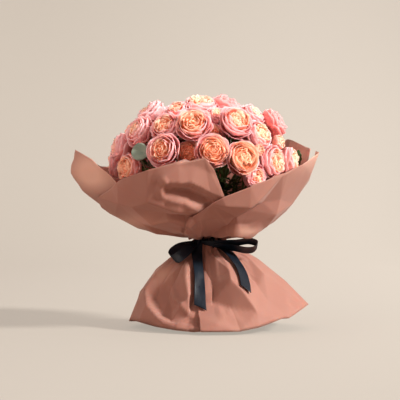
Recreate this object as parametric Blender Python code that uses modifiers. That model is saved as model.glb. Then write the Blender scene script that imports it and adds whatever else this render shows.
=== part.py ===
"""Bunch of roses: a round hand-tied bouquet in a folded paper wrap, tied with a ribbon bow.

Lengths are in millimetres and become metres where a mesh is made. The front is -Y. An azimuth is
measured in degrees from the front towards +X, so 90 is the right side. The bunch stands on its cut
stem ends and on the hem of its wrap, at z = 0.
"""
import math
import random
from itertools import combinations

import bmesh
import bpy
from mathutils import Matrix, Vector

MM = 0.001
CLEARANCE = 0.3

# Dome of blooms: every head faces away from one point inside it, and the heads are spread until none
# touches another
DOME_X = -20.0
FACING_CENTRE = Vector((DOME_X, 30.0, 345.0))
SPREAD_ROUNDS = 300
SPREAD_GAP = 0.6

# Heads that show from the front: name, x, y, z, radius
FRONT_HEADS = (
    ("crown_front", -17, -46, 480, 34),
    ("crown_right", 56, 6, 478, 33),
    ("crown_left", -54, 20, 476, 32),
    ("crown_low", 14, -74, 462, 22),
    ("shoulder_left", -65, -74, 466, 27),
    ("shoulder_far_left", -127, 4, 470, 32),
    ("shoulder_right", 98, -26, 465, 26),
    ("upper_middle", -30, -136, 438, 34),
    ("upper_right", 54, -112, 442, 34),
    ("upper_left", -87, -104, 440, 31),
    ("between_upper", 12, -104, 426, 22),
    ("side_left", -151, -66, 428, 32),
    ("side_right", 109, -84, 414, 31),
    ("far_right_high", 142, 10, 448, 33),
    ("lower_left", -95, -150, 383, 33),
    ("lower_middle", 8, -166, 381, 33),
    ("lower_right", 70, -150, 367, 34),
    ("between_lower", -44, -128, 378, 26),
    ("rim_far_left", -196, -10, 393, 32),
    ("rim_left", -172, -86, 346, 30),
    ("rim_right", 136, -78, 365, 33),
    ("rim_far_right", 172, -12, 365, 29),
    ("rim_front_right", 98, -106, 330, 27),
    ("edge_left", -205, 44, 362, 30),
)
# Small closed buds: name, x, y, z, radius
BUD_HEADS = (
    ("bud_right", 148, -46, 403, 17),
    ("bud_middle", 104, -112, 385, 13),
)
# Rows of heads round the back: height, row radius, first and last azimuth, count
BACK_ROWS = (
    (368, 178, 95, 240, 7),
    (425, 158, 112, 250, 6),
    (462, 108, 108, 238, 4),
)
BACK_HEAD_RADIUS = 34

# Petal rings of a head, from the middle of its face round to its base. Each has a radius and a height
# as fractions of the head's radius, the depth of the notches between petals, and a petal offset.
PETALS_ROUND = 5
COLUMNS_PER_PETAL = 3
HEAD_RINGS = (
    (0.22, 0.56, 0.10, 0),
    (0.38, 0.40, 0.00, 0),
    (0.74, 0.56, 0.14, 1),
    (0.76, 0.26, 0.00, 1),
    (0.99, 0.10, 0.16, 2),
    (0.86, -0.30, 0.06, 2),
    (0.48, -0.66, 0.00, 2),
)
PETAL_REACHES = (0.99, 1.03)
PETAL_LIFT = 0.04
NOTCH_NEAR_SIDE = 0.45
NOTCH_DROP = 0.3
HEAD_FACE_HEIGHT = 0.40
HEAD_BASE_HEIGHT = -0.80
BUD_RINGS = (
    (0.30, 0.86, 0.20, 0),
    (0.50, 0.62, 0.00, 0),
    (0.92, 0.40, 0.14, 1),
    (0.98, -0.10, 0.05, 1),
    (0.50, -0.60, 0.00, 1),
)
BUD_FACE_HEIGHT = 0.70
BUD_BASE_HEIGHT = -0.72
PETAL_EDGE_SPREAD = 4.8

# Stems: straight lines of a spiral through the waist, then a bend to the branching point
WAIST_Z = 187.0
STRAIGHT_TOP_Z = 222.0
OUTER_SLOPE = 0.31
MIDDLE_SLOPE = 0.20
STEM_RADIUS = 4.0
SPRIG_RADIUS = 2.0
PEDICEL_RADIUS = 1.7
RACHIS_RADIUS = 1.1
MIDDLE_RING_RADIUS = 2 * STEM_RADIUS + CLEARANCE
OUTER_RING_RADIUS = MIDDLE_RING_RADIUS + 2 * STEM_RADIUS + CLEARANCE
OUTER_SPRAYS = 6
MIDDLE_SPRAYS = 4
OUTER_LAG = 55.0
MIDDLE_LAG = 55.0
OUTER_BELOW_ELEVATION = 33.0
MIDDLE_BELOW_ELEVATION = 62.0
ELEVATION_BASE_Z = 300.0
BRANCH_SHARE = 0.48
BELOW_FOOT = 6.0
PEDICEL_BEND_BELOW = 0.35
PEDICEL_BEND_AT = 0.8
HIP_LENGTH = 7.0
HIP_RADIUS = 5.5
HIP_FOOT_RADIUS = 2.4
SUNK = 2.0
BEND_STEPS = 3

# Leaves
LEAF_THICKNESS = 0.7
LEAFLET_LENGTH = 40.0
LEAFLET_HALF_WIDTH = 13.0
LEAFLET_TEETH = 3
BARE_TIP_TEETH = 0.6
TOOTH_VALLEY_BACK = 0.35
TOOTH_VALLEY_WIDTH = 0.80
WIDEST_EARLY = 0.85
FULLNESS = 0.7
LEAF_REACH = 52.0
LEAF_RISE = 0.10
STALK_SAG = 3.0
LEAF_FACING_OUT = 0.3
# Side leaflets: where they leave the stalk, their turn from it in degrees, and their size
SIDE_LEAFLET_AT = 0.72
SIDE_LEAFLET_TURN = 60.0
SIDE_LEAFLET_LENGTH = 0.8
SIDE_LEAFLET_WIDTH = 0.85

# Leaf that stands up beside the far right head: bends of its stalk, then the leaf's root and tip
UPRIGHT_LEAF_BY = "rose_rim_far_right"
UPRIGHT_STALK = ((96, 14, 268), (158, 26, 318))
UPRIGHT_ROOT = (193, 30, 352)
UPRIGHT_TIP = (201, 30, 391)
UPRIGHT_FACING = (-0.2, -1, 0.1)
UPRIGHT_STALK_INTO_LEAF = 0.1

# Eucalyptus sprig: points of its stem above the waist and its round leaves
SPRIG_AZIMUTH = -50.0
SPRIG_POINTS = ((-92, -84, 285), (-128, -108, 335))
SPRIG_LEAF_CENTRE = (-145, -124, 380)
SPRIG_LEAF_FACING = (-0.25, -0.95, 0.15)
ROUND_LEAF_RADIUS = 18.5
# Pair of smaller round leaves: where on the stem, their azimuths and their size
SIDE_PAIR_AT = 0.45
SIDE_PAIR_AZIMUTHS = (60, 240)
SIDE_PAIR_SIZE = 0.8

# Binding twine: turns side by side round the outer stems
TWINE_RADIUS = 1.8
TWINE_TURNS = 3
TWINE_PITCH = 3.0
TWINE_SEGMENTS = 12
TWINE_RIDGE_ANGLES = (-50, 0, 50)
TWINE_INNER_RADIUS = (OUTER_RING_RADIUS + STEM_RADIUS + CLEARANCE) / math.cos(math.pi / TWINE_SEGMENTS)

# Wrap. Each row: azimuth, then three (radius, height) points of the collar's curve above the neck and
# two (radius, height) points of the skirt's curve below it.
SHEET_THICKNESS = 0.8
NECK_RADIUS = TWINE_INNER_RADIUS + 2 * TWINE_RADIUS + CLEARANCE + SHEET_THICKNESS / 2
NECK_TOP_Z = 200.0
NECK_LOW_Z = 174.0
LAYER_STEP = 1.6
COLLAR_SPREAD = 0.028
SKIRT_SPREAD = 0.09
SKIRT_STEP_LIMIT = 5.0
WRAP_ROWS = (
    (-180, (140, 205), (215, 270), (232, 372), (95, 130), (172, 0.8)),
    (-140, (150, 205), (240, 262), (246, 352), (105, 140), (170, 6)),
    (-112, (165, 203), (290, 262), (268, 356), (112, 145), (168, 12)),
    (-90, (170, 203), (355, 285), (290, 388), (115, 148), (168, 10)),
    (-72, (160, 203), (300, 272), (242, 352), (114, 146), (166, 13)),
    (-50, (150, 206), (258, 255), (230, 340), (108, 142), (168, 6)),
    (-30, (140, 210), (226, 248), (240, 345), (98, 122), (168, 1)),
    (-15, (130, 213), (206, 250), (230, 360), (88, 112), (150, 4)),
    (-3, (120, 213), (196, 252), (216, 370), (92, 110), (183, -8)),
    (10, (115, 211), (188, 250), (208, 345), (96, 126), (179, -6)),
    (25, (115, 208), (184, 248), (206, 330), (98, 136), (177, -4)),
    (40, (118, 206), (178, 252), (204, 338), (100, 146), (184, 6)),
    (60, (122, 204), (178, 262), (212, 358), (100, 154), (193, 24)),
    (78, (130, 202), (186, 280), (228, 388), (100, 156), (210, 42)),
    (96, (135, 202), (196, 288), (236, 392), (102, 154), (198, 30)),
    (112, (138, 203), (212, 290), (236, 400), (102, 148), (184, 14)),
    (126, (140, 204), (222, 296), (248, 438), (100, 130), (176, 4)),
    (145, (140, 205), (218, 278), (236, 388), (96, 130), (172, 0.8)),
    (180, (140, 205), (215, 270), (232, 372), (95, 130), (172, 0.8)),
)
COLLAR_ROWS = 6
SKIRT_ROWS = 5
PROFILE_STEP = 0.96
NOT_TUCKED = 400
# Sheets: name, layer outwards, degrees between columns, azimuth past which the skirt stays tucked in,
# side edges as (level, first azimuth, last azimuth), and top edge as (azimuth, share of the collar's
# curve). A level is -1 at the hem, 0 at the neck and 1 at the top.
SHEETS = (
    ("wrap_back_sheet", 0, 14.4, NOT_TUCKED,
     ((-1, 96, 262), (0, 90, 290), (1, 92, 306)),
     ((92, 1.0), (306, 1.0))),
    ("wrap_left_sheet", 1, 10.0, -16,
     ((-1, -108, 2), (-0.5, -106, 4), (-0.25, -104, 10), (0, -100, 30), (1, -74, 24)),
     ((-74, 0.62), (-62, 0.80), (-48, 0.92), (-30, 1.0), (-3, 1.0), (10, 0.72), (30, 0.58))),
    ("wrap_right_sheet", 2, 10.0, NOT_TUCKED,
     ((-1, -5, 108), (-0.5, -14, 106), (-0.25, -26, 105), (0, -44, 104), (1, -40, 98)),
     ((-44, 0.10), (-21, 0.34), (-6, 0.50), (10, 0.72), (25, 0.86), (40, 0.94), (55, 1.0), (104, 1.0))),
)

# Ribbon
RIBBON_WIDTH = 25.0
RIBBON_THICKNESS = 0.9
KNOT_GATHER = 0.45
GATHER_EASE = 0.10
BAND_HEIGHT = 16.0
BAND_RADIUS = NECK_RADIUS + 2 * LAYER_STEP + SHEET_THICKNESS / 2 + 2 * CLEARANCE
KNOT_AZIMUTH = -36.0
KNOT_SIZE = (14.6, 30.0, 16.0)
KNOT_RADIUS = BAND_RADIUS + KNOT_SIZE[0] / 2 - CLEARANCE
# Loops: points along the middle of the strip and the direction across it
LEFT_LOOP = (
    ((-22, -33, 188), (-42, -56, 180), (-62, -66, 166), (-73, -62, 153), (-62, -50, 158), (-44, -44, 172),
     (-22, -30, 185)),
    (0.66, -0.10, -0.74),
)
RIGHT_LOOP = (
    ((-18, -34, 187), (18, -62, 183), (56, -76, 181), (88, -78, 180), (102, -67, 179), (90, -56, 179),
     (56, -52, 180), (22, -46, 183), (-14, -32, 186)),
    (0.12, 0.10, 0.98),
)
# Tails: azimuth and height of the strip's middle where it lies on the neck and the skirt
LEFT_TAIL = ((-34, 187), (-30, 160), (-20, 136), (-14, 110), (-12, 80), (-8, 50))
RIGHT_TAIL = ((-24, 186), (2, 186), (24, 184), (40, 160), (42, 136), (38, 112), (37, 90), (38, 72))
TAIL_CLEARANCE = 7.0
TAIL_SLOPE_STEP = (3.0, 2.0)
LEVEL_HALVINGS = 24
NEXT_TO_NECK = -0.001
BAND_SEGMENTS = 24
KNOT_SEGMENTS = 10
KNOT_RINGS = 6


def direction(azimuth):
    """Level unit vector at an azimuth in degrees."""
    turn = math.radians(azimuth)
    return Vector((math.sin(turn), -math.cos(turn), 0.0))


def azimuth_of(point):
    return math.degrees(math.atan2(point.x, -point.y))


def blend(table, at):
    """Value at a key, read with straight lines between the rows of a (key, value) table."""
    if at <= table[0][0]:
        return table[0][1]
    for (key, value), (next_key, next_value) in zip(table, table[1:]):
        if at <= next_key:
            return value + (next_value - value) * (at - key) / (next_key - key)
    return table[-1][1]


def material(name, colour, roughness):
    made = bpy.data.materials.new(name)
    made.use_nodes = True
    shader = made.node_tree.nodes["Principled BSDF"]
    shader.inputs["Base Color"].default_value = (*colour, 1.0)
    shader.inputs["Roughness"].default_value = roughness
    shader.inputs["Metallic"].default_value = 0.0
    return made


def add_mesh(name, points, faces, look, collection):
    """Object whose mesh has the given points, in millimetres, and faces."""
    mesh = bpy.data.meshes.new(name)
    mesh.from_pydata([Vector(point) * MM for point in points], [], faces)
    mesh.update()
    made = bpy.data.objects.new(name, mesh)
    made.data.materials.append(look)
    collection.objects.link(made)
    return made


def evaluated_copy(source, name, collection):
    """New mesh object with the source's modifiers applied; the source is removed."""
    graph = bpy.context.evaluated_depsgraph_get()
    mesh = bpy.data.meshes.new_from_object(source.evaluated_get(graph))
    made = bpy.data.objects.new(name, mesh)
    made.matrix_world = source.matrix_world
    if not mesh.materials:
        mesh.materials.append(source.active_material)
    collection.objects.link(made)
    bpy.data.objects.remove(source)
    return made


def tube(name, points, radius, sides_level, look, collection):
    """Round bar along a row of points: a curve with filled caps, made a mesh with welded caps."""
    curve = bpy.data.curves.new(name, "CURVE")
    curve.dimensions = "3D"
    curve.bevel_depth = radius * MM
    curve.bevel_resolution = sides_level
    curve.use_fill_caps = True
    spline = curve.splines.new("POLY")
    spline.points.add(len(points) - 1)
    for place, point in zip(spline.points, points):
        place.co = (*(Vector(point) * MM), 1.0)
    bar = bpy.data.objects.new(name + "_curve", curve)
    curve.materials.append(look)
    collection.objects.link(bar)
    bpy.context.view_layer.update()
    made = evaluated_copy(bar, name, collection)
    shape = bmesh.new()
    shape.from_mesh(made.data)
    bmesh.ops.remove_doubles(shape, verts=shape.verts, dist=0.02 * MM)
    bmesh.ops.recalc_face_normals(shape, faces=shape.faces)
    shape.to_mesh(made.data)
    shape.free()
    return made


def smooth_path(points, steps):
    """Catmull-Rom points through the given ones, with a number of steps between each two."""
    ends = [points[0] * 2 - points[1], *points, points[-1] * 2 - points[-2]]
    path = []
    for before, start, end, after in zip(ends, ends[1:], ends[2:], ends[3:]):
        for step in range(steps):
            t = step / steps
            path.append(0.5 * (
                2 * start + (end - before) * t
                + (2 * before - 5 * start + 4 * end - after) * t ** 2
                + (3 * start - before - 3 * end + after) * t ** 3
            ))
    path.append(points[-1])
    return path


def level_cut(made):
    """Cuts a stem level at z = 0 and closes the cut end."""
    shape = bmesh.new()
    shape.from_mesh(made.data)
    geometry = shape.verts[:] + shape.edges[:] + shape.faces[:]
    bmesh.ops.bisect_plane(shape, geom=geometry, plane_co=(0, 0, 0), plane_no=(0, 0, 1), clear_inner=True)
    rim = [edge for edge in shape.edges if edge.is_boundary]
    bmesh.ops.holes_fill(shape, edges=rim)
    bmesh.ops.recalc_face_normals(shape, faces=shape.faces)
    shape.to_mesh(made.data)
    shape.free()


def union(name, pieces, collection, workshop):
    """Joins overlapping pieces into one solid named for its node."""
    body = pieces[0]
    for piece in pieces[1:]:
        workshop.objects.link(piece)
        collection.objects.unlink(piece)
    join = body.modifiers.new("Join", "BOOLEAN")
    join.operation = "UNION"
    join.operand_type = "COLLECTION"
    join.collection = workshop
    join.solver = "EXACT"
    bpy.context.view_layer.update()
    made = evaluated_copy(body, name, collection)
    made.data.name = name
    for piece in pieces[1:]:
        bpy.data.objects.remove(piece)
    drop_scraps(made)
    return made


def drop_scraps(made):
    """Keeps only the largest connected body of a mesh."""
    shape = bmesh.new()
    shape.from_mesh(made.data)
    left = set(shape.verts)
    bodies = []
    while left:
        body = [left.pop()]
        for vertex in body:
            near = {edge.other_vert(vertex) for edge in vertex.link_edges} & left
            left -= near
            body.extend(near)
        bodies.append(body)
    bodies.sort(key=len)
    scraps = [vertex for body in bodies[:-1] for vertex in body]
    bmesh.ops.delete(shape, geom=scraps, context="VERTS")
    shape.to_mesh(made.data)
    shape.free()


class Head:
    """One rose or bud: its centre, radius and the way it faces."""

    def __init__(self, name, centre, radius, is_bud=False):
        self.name = name
        self.centre = Vector(centre)
        self.radius = radius
        self.is_bud = is_bud

    def facing(self):
        return (self.centre - FACING_CENTRE).normalized()

    def base(self):
        """Middle of the head's underside."""
        height = BUD_BASE_HEIGHT if self.is_bud else HEAD_BASE_HEIGHT
        return self.centre + self.facing() * height * self.radius

    def azimuth(self):
        return azimuth_of(self.centre - Vector((DOME_X, 0, 0)))

    def elevation(self):
        """Angle above the level at the foot of the dome."""
        reach = self.centre - Vector((DOME_X, 0, ELEVATION_BASE_Z))
        return math.degrees(math.atan2(reach.z, math.hypot(reach.x, reach.y)))


def place_heads():
    """All heads of the dome, spread until none touches another."""
    heads = [Head("rose_" + name, (x, y, z), radius) for name, x, y, z, radius in FRONT_HEADS]
    heads += [Head("rose_" + name, (x, y, z), radius, True) for name, x, y, z, radius in BUD_HEADS]
    for row, (height, reach, first, last, count) in enumerate(BACK_ROWS, 1):
        for number in range(count):
            azimuth = first + (last - first) * number / (count - 1)
            centre = direction(azimuth) * reach + Vector((DOME_X, 0, height))
            heads.append(Head(f"rose_back_{row}_{number + 1}", centre, BACK_HEAD_RADIUS))
    for _ in range(SPREAD_ROUNDS):
        for one, other in combinations(heads, 2):
            apart = other.centre - one.centre
            short = one.radius + other.radius + SPREAD_GAP - apart.length
            if short > 0:
                push = apart.normalized() * short / 2
                one.centre -= push
                other.centre += push
    return heads


def head_solid(head, look, collection, chance):
    """Petal rings round an axis: rims with notches between petals, and valleys between the rings."""
    rings = BUD_RINGS if head.is_bud else HEAD_RINGS
    face_height = BUD_FACE_HEIGHT if head.is_bud else HEAD_FACE_HEIGHT
    base_height = BUD_BASE_HEIGHT if head.is_bud else HEAD_BASE_HEIGHT
    columns = PETALS_ROUND * COLUMNS_PER_PETAL
    step = 360.0 / columns
    points = [Vector((0, 0, face_height))]
    for reach, height, notch, offset in rings:
        petal_reach = [chance.uniform(*PETAL_REACHES) for _ in range(PETALS_ROUND)]
        petal_lift = [chance.uniform(-PETAL_LIFT, PETAL_LIFT) for _ in range(PETALS_ROUND)]
        for column in range(columns):
            petal, place = divmod((column + offset) % columns, COLUMNS_PER_PETAL)
            side = place - 1
            turn = math.radians(column * step + side * PETAL_EDGE_SPREAD * (notch > 0))
            tuck = notch * (0.0, 1.0, NOTCH_NEAR_SIDE)[side]
            radius = reach * petal_reach[petal] * (1 - tuck)
            lift = petal_lift[petal] - NOTCH_DROP * tuck
            points.append(Vector((radius * math.cos(turn), radius * math.sin(turn), height + lift)))
    points.append(Vector((0, 0, base_height)))
    faces = [(0, 1 + column, 1 + (column + 1) % columns) for column in range(columns)]
    for ring in range(len(rings) - 1):
        first = 1 + ring * columns
        for column in range(columns):
            following = (column + 1) % columns
            inner, inner_next = first + column, first + following
            outer, outer_next = inner + columns, inner_next + columns
            faces.append((inner, outer, outer_next))
            faces.append((inner, outer_next, inner_next))
    last = 1 + (len(rings) - 1) * columns
    pole = len(points) - 1
    faces += [(last + column, pole, last + (column + 1) % columns) for column in range(columns)]
    turn_to_face = head.facing().to_track_quat("Z", "Y").to_matrix()
    roll = Matrix.Rotation(chance.uniform(0, math.tau), 3, "Z")
    placed = [head.centre + turn_to_face @ roll @ (point * head.radius) for point in points]
    return add_mesh(head.name, placed, faces, look, collection)


def hip(head, look, collection):
    """Green cup under a head, with its flat top just below the petals."""
    shape = bmesh.new()
    bmesh.ops.create_cone(
        shape, cap_ends=True, segments=5, radius1=HIP_FOOT_RADIUS * MM, radius2=HIP_RADIUS * MM,
        depth=HIP_LENGTH * MM,
    )
    middle = head.base() - head.facing() * (CLEARANCE + HIP_LENGTH / 2)
    turn = head.facing().to_track_quat("Z", "Y").to_matrix().to_4x4()
    shape.transform(Matrix.Translation(middle * MM) @ turn)
    mesh = bpy.data.meshes.new("hip")
    shape.to_mesh(mesh)
    shape.free()
    made = bpy.data.objects.new("hip", mesh)
    mesh.materials.append(look)
    collection.objects.link(made)
    return made


def leaflet(root, tip, facing, half_width, look, collection):
    """Flat serrated blade from root to tip; facing is the side that the light falls on."""
    along = tip - root
    across = along.cross(facing).normalized()
    normal = across.cross(along).normalized()
    right, left = [], []
    tooth_step = 1 / (LEAFLET_TEETH + BARE_TIP_TEETH)
    for tooth in range(1, LEAFLET_TEETH + 1):
        share = tooth * tooth_step
        width = half_width * math.sin(math.pi * share ** WIDEST_EARLY) ** FULLNESS
        valley = share - TOOTH_VALLEY_BACK * tooth_step
        for where, wide in ((valley, width * TOOTH_VALLEY_WIDTH), (share, width)):
            right.append(root + along * where + across * wide)
            left.append(root + along * where - across * wide)
    outline = [root, *right, tip, *reversed(left)]
    half = normal * LEAF_THICKNESS / 2
    count = len(outline)
    points = [point + half for point in outline] + [point - half for point in outline]
    faces = [tuple(range(count)), tuple(range(2 * count - 1, count - 1, -1))]
    faces += [(i, count + i, count + (i + 1) % count, (i + 1) % count) for i in range(count)]
    made = add_mesh("leaflet", points, faces, look, collection)
    return closed_outward(made)


def closed_outward(made):
    """Turns a closed mesh's faces outwards and splits them into triangles."""
    shape = bmesh.new()
    shape.from_mesh(made.data)
    bmesh.ops.triangulate(shape, faces=shape.faces)
    bmesh.ops.recalc_face_normals(shape, faces=shape.faces)
    shape.to_mesh(made.data)
    shape.free()
    return made


def round_leaf(centre, normal, radius, look, collection):
    """Thin round eucalyptus blade."""
    shape = bmesh.new()
    bmesh.ops.create_cone(
        shape, cap_ends=True, segments=12, radius1=radius * MM, radius2=radius * MM,
        depth=LEAF_THICKNESS * MM,
    )
    turn = Vector(normal).normalized().to_track_quat("Z", "Y").to_matrix().to_4x4()
    shape.transform(Matrix.Translation(Vector(centre) * MM) @ turn)
    mesh = bpy.data.meshes.new("round_leaf")
    shape.to_mesh(mesh)
    shape.free()
    made = bpy.data.objects.new("round_leaf", mesh)
    mesh.materials.append(look)
    collection.objects.link(made)
    return closed_outward(made)


def spiral_line(ring_radius, waist_azimuth, height):
    """Point at a height on a straight stem that leans round the bundle's axis."""
    outward = direction(waist_azimuth)
    onward = direction(waist_azimuth + 90)
    slope = OUTER_SLOPE if ring_radius > MIDDLE_RING_RADIUS else MIDDLE_SLOPE if ring_radius > 0 else 0.0
    lean = slope * (height - WAIST_Z)
    point = outward * ring_radius + onward * lean
    point.z = height
    return point


def stem_route(ring_radius, waist_azimuth, end_points):
    """Points of a stem: straight from below the table level to above the waist, then bent."""
    foot = spiral_line(ring_radius, waist_azimuth, -BELOW_FOOT if ring_radius > 0 else 0.0)
    top = spiral_line(ring_radius, waist_azimuth, STRAIGHT_TOP_Z)
    below = spiral_line(ring_radius, waist_azimuth, WAIST_Z)
    bent = smooth_path([below, top, *end_points], BEND_STEPS)
    return [foot, *bent[BEND_STEPS:]]


def group_heads(heads):
    """Heads of each spray: outer runs and middle runs by azimuth, and the crown."""
    outer = [head for head in heads if head.elevation() < OUTER_BELOW_ELEVATION]
    middle = [head for head in heads
              if OUTER_BELOW_ELEVATION <= head.elevation() < MIDDLE_BELOW_ELEVATION]
    crown = [head for head in heads if head.elevation() >= MIDDLE_BELOW_ELEVATION]
    groups = []
    for ring, members, count in ((OUTER_RING_RADIUS, outer, OUTER_SPRAYS),
                                 (MIDDLE_RING_RADIUS, middle, MIDDLE_SPRAYS)):
        members.sort(key=Head.azimuth)
        for number in range(count):
            start = round(number * len(members) / count)
            end = round((number + 1) * len(members) / count)
            groups.append((ring, members[start:end]))
    groups.append((0.0, crown))
    return groups


def spray(name, ring_radius, waist_azimuth, heads, look, collection, workshop):
    """One stem with a pedicel and a hip for each of its heads, and a leaf of three leaflets."""
    hip_feet = [head.base() - head.facing() * (CLEARANCE + HIP_LENGTH) for head in heads]
    middle = sum(hip_feet, Vector()) / len(hip_feet)
    top = spiral_line(ring_radius, waist_azimuth, STRAIGHT_TOP_Z)
    branching = top.lerp(middle, BRANCH_SHARE)
    route = stem_route(ring_radius, waist_azimuth, [branching])
    stem = tube("stem", route, STEM_RADIUS, 1, look, collection)
    if ring_radius > 0:
        level_cut(stem)
    pieces = [stem]
    heading = (route[-1] - route[-2]).normalized()
    for head, foot in zip(heads, hip_feet):
        start = branching - heading * SUNK
        reach = (foot - start).length
        bend = foot - head.facing() * reach * PEDICEL_BEND_BELOW
        path = [start, start.lerp(bend, PEDICEL_BEND_AT), foot + head.facing() * SUNK]
        pieces.append(tube("pedicel", path, PEDICEL_RADIUS, 0, look, collection))
        pieces.append(hip(head, look, collection))
    if ring_radius == OUTER_RING_RADIUS:
        pieces += compound_leaf(route, middle, look, collection)
    if UPRIGHT_LEAF_BY in [head.name for head in heads]:
        pieces += upright_leaf(route, look, collection)
    return union(name, pieces, collection, workshop)


def upright_leaf(route, look, collection):
    """Single leaf on a long stalk, standing between the blooms and the wrap."""
    root, tip = Vector(UPRIGHT_ROOT), Vector(UPRIGHT_TIP)
    bends = [Vector(point) for point in UPRIGHT_STALK]
    stalk = smooth_path([route[-3], *bends, root.lerp(tip, UPRIGHT_STALK_INTO_LEAF)], 2)
    half_width = LEAFLET_HALF_WIDTH * SIDE_LEAFLET_WIDTH
    return [
        tube("stalk", stalk, RACHIS_RADIUS, 0, look, collection),
        leaflet(root, tip, Vector(UPRIGHT_FACING), half_width, look, collection),
    ]


def compound_leaf(route, towards, look, collection):
    """Leaf stalk from the stem's bend with one end leaflet and two side leaflets."""
    root = route[-3].lerp(route[-2], 0.5)
    outward = Vector((towards.x, towards.y, 0)).normalized()
    tilt = Vector((outward.x, outward.y, LEAF_RISE)).normalized()
    fork = root + tilt * LEAF_REACH
    stalk = [root, root.lerp(fork, 0.5) - Vector((0, 0, STALK_SAG)), fork + tilt * 2 * SUNK]
    pieces = [tube("stalk", stalk, RACHIS_RADIUS, 0, look, collection)]
    up = Vector((0, 0, 1))
    side = outward.cross(up)
    facing = (up + outward * LEAF_FACING_OUT).normalized()
    pieces.append(leaflet(fork, fork + tilt * LEAFLET_LENGTH, facing, LEAFLET_HALF_WIDTH, look, collection))
    base = root + tilt * LEAF_REACH * SIDE_LEAFLET_AT
    half_width = LEAFLET_HALF_WIDTH * SIDE_LEAFLET_WIDTH
    for turn in (-math.radians(SIDE_LEAFLET_TURN), math.radians(SIDE_LEAFLET_TURN)):
        along = tilt * math.cos(turn) + side * math.sin(turn)
        tip = base + along * LEAFLET_LENGTH * SIDE_LEAFLET_LENGTH
        pieces.append(leaflet(base, tip, facing, half_width, look, collection))
    return pieces


def eucalyptus(waist_azimuth, look, collection, workshop):
    """Sprig with round leaves, one of them between the blooms at the left."""
    points = [Vector(point) for point in SPRIG_POINTS]
    centre = Vector(SPRIG_LEAF_CENTRE)
    joint = centre - Vector((0, 0, ROUND_LEAF_RADIUS / 2))
    ring_radius = OUTER_RING_RADIUS + STEM_RADIUS - SPRIG_RADIUS
    route = stem_route(ring_radius, waist_azimuth, [*points, joint])
    stem = tube("stem", route, SPRIG_RADIUS, 1, look, collection)
    level_cut(stem)
    pieces = [stem, round_leaf(centre, SPRIG_LEAF_FACING, ROUND_LEAF_RADIUS, look, collection)]
    base = points[0].lerp(points[1], SIDE_PAIR_AT)
    radius = ROUND_LEAF_RADIUS * SIDE_PAIR_SIZE
    for azimuth in SIDE_PAIR_AZIMUTHS:
        reach = direction(azimuth) * (radius - SUNK)
        pieces.append(round_leaf(base + reach, (0, 0, 1), radius, look, collection))
    return union("eucalyptus_sprig", pieces, collection, workshop)


def wrap_row(azimuth):
    """Collar and skirt control points at an azimuth, eased between the rows of the table."""
    azimuth = (azimuth + 180) % 360 - 180
    for row, following in zip(WRAP_ROWS, WRAP_ROWS[1:]):
        if azimuth <= following[0]:
            share = (azimuth - row[0]) / (following[0] - row[0])
            return [Vector(a).lerp(Vector(b), share) for a, b in zip(row[1:], following[1:])]
    return [Vector(point) for point in WRAP_ROWS[-1][1:]]


def wrap_profile(azimuth, level):
    """Radius and height of the wrap's inmost layer; level is -1 at the hem, 0 at the neck, 1 on top."""
    first, second, top, skirt_bend, hem = wrap_row(azimuth)
    if level >= 0:
        start = Vector((NECK_RADIUS, NECK_TOP_Z))
        back = 1 - level
        return (start * back ** 3 + first * 3 * back ** 2 * level
                + second * 3 * back * level ** 2 + top * level ** 3)
    start = Vector((NECK_RADIUS, NECK_LOW_Z))
    share = -level
    back = 1 - share
    return start * back ** 2 + skirt_bend * 2 * back * share + hem * share ** 2


def wrap_point(azimuth, level, layer, further_out=0.0, tucked_past=NOT_TUCKED):
    """Point of a layer of the wrap, moved out from the inmost one along the profile's normal."""
    form = azimuth if level > 0 else min(azimuth, tucked_past)
    here = wrap_profile(form, level)
    run = (here - wrap_profile(form, level * PROFILE_STEP)).normalized() * math.copysign(1, level)
    beyond = here.x - NECK_RADIUS
    step = COLLAR_SPREAD * beyond if level > 0 else min(SKIRT_SPREAD * beyond, SKIRT_STEP_LIMIT)
    out = layer * (LAYER_STEP + step) + further_out
    point = direction(azimuth) * (here.x + run.y * out)
    point.z = here.y - run.x * out
    return point


def neck_point(azimuth, height, layer):
    point = direction(azimuth) * (NECK_RADIUS + layer * LAYER_STEP)
    point.z = height
    return point


def sheet(name, layer, column_step, tucked_past, sides, top_edge, look, collection):
    """One sheet of the wrap, from its hem through the neck to its top edge, as a thin shell."""
    first_side = [(level, first) for level, first, _ in sides]
    last_side = [(level, last) for level, _, last in sides]
    widest = max(last - first for _, first, last in sides)
    columns = round(widest / column_step)
    levels = [-1 + row / SKIRT_ROWS for row in range(SKIRT_ROWS)]
    rows = []
    for level in levels:
        rows.append([wrap_point(azimuth, level, layer, 0.0, tucked_past) for azimuth
                     in spaced(blend(first_side, level), blend(last_side, level), columns)])
    neck = list(spaced(blend(first_side, 0), blend(last_side, 0), columns))
    for height in (NECK_LOW_Z + layer * LAYER_STEP, NECK_TOP_Z - layer * LAYER_STEP):
        rows.append([neck_point(azimuth, height, layer) for azimuth in neck])
    for row in range(1, COLLAR_ROWS + 1):
        share = row / COLLAR_ROWS
        azimuths = spaced(blend(first_side, share), blend(last_side, share), columns)
        rows.append([wrap_point(azimuth, share * blend(top_edge, azimuth), layer)
                     for azimuth in azimuths])
    return shell(name, rows, SHEET_THICKNESS, look, collection)


def spaced(first, last, steps):
    return [first + (last - first) * step / steps for step in range(steps + 1)]


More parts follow.
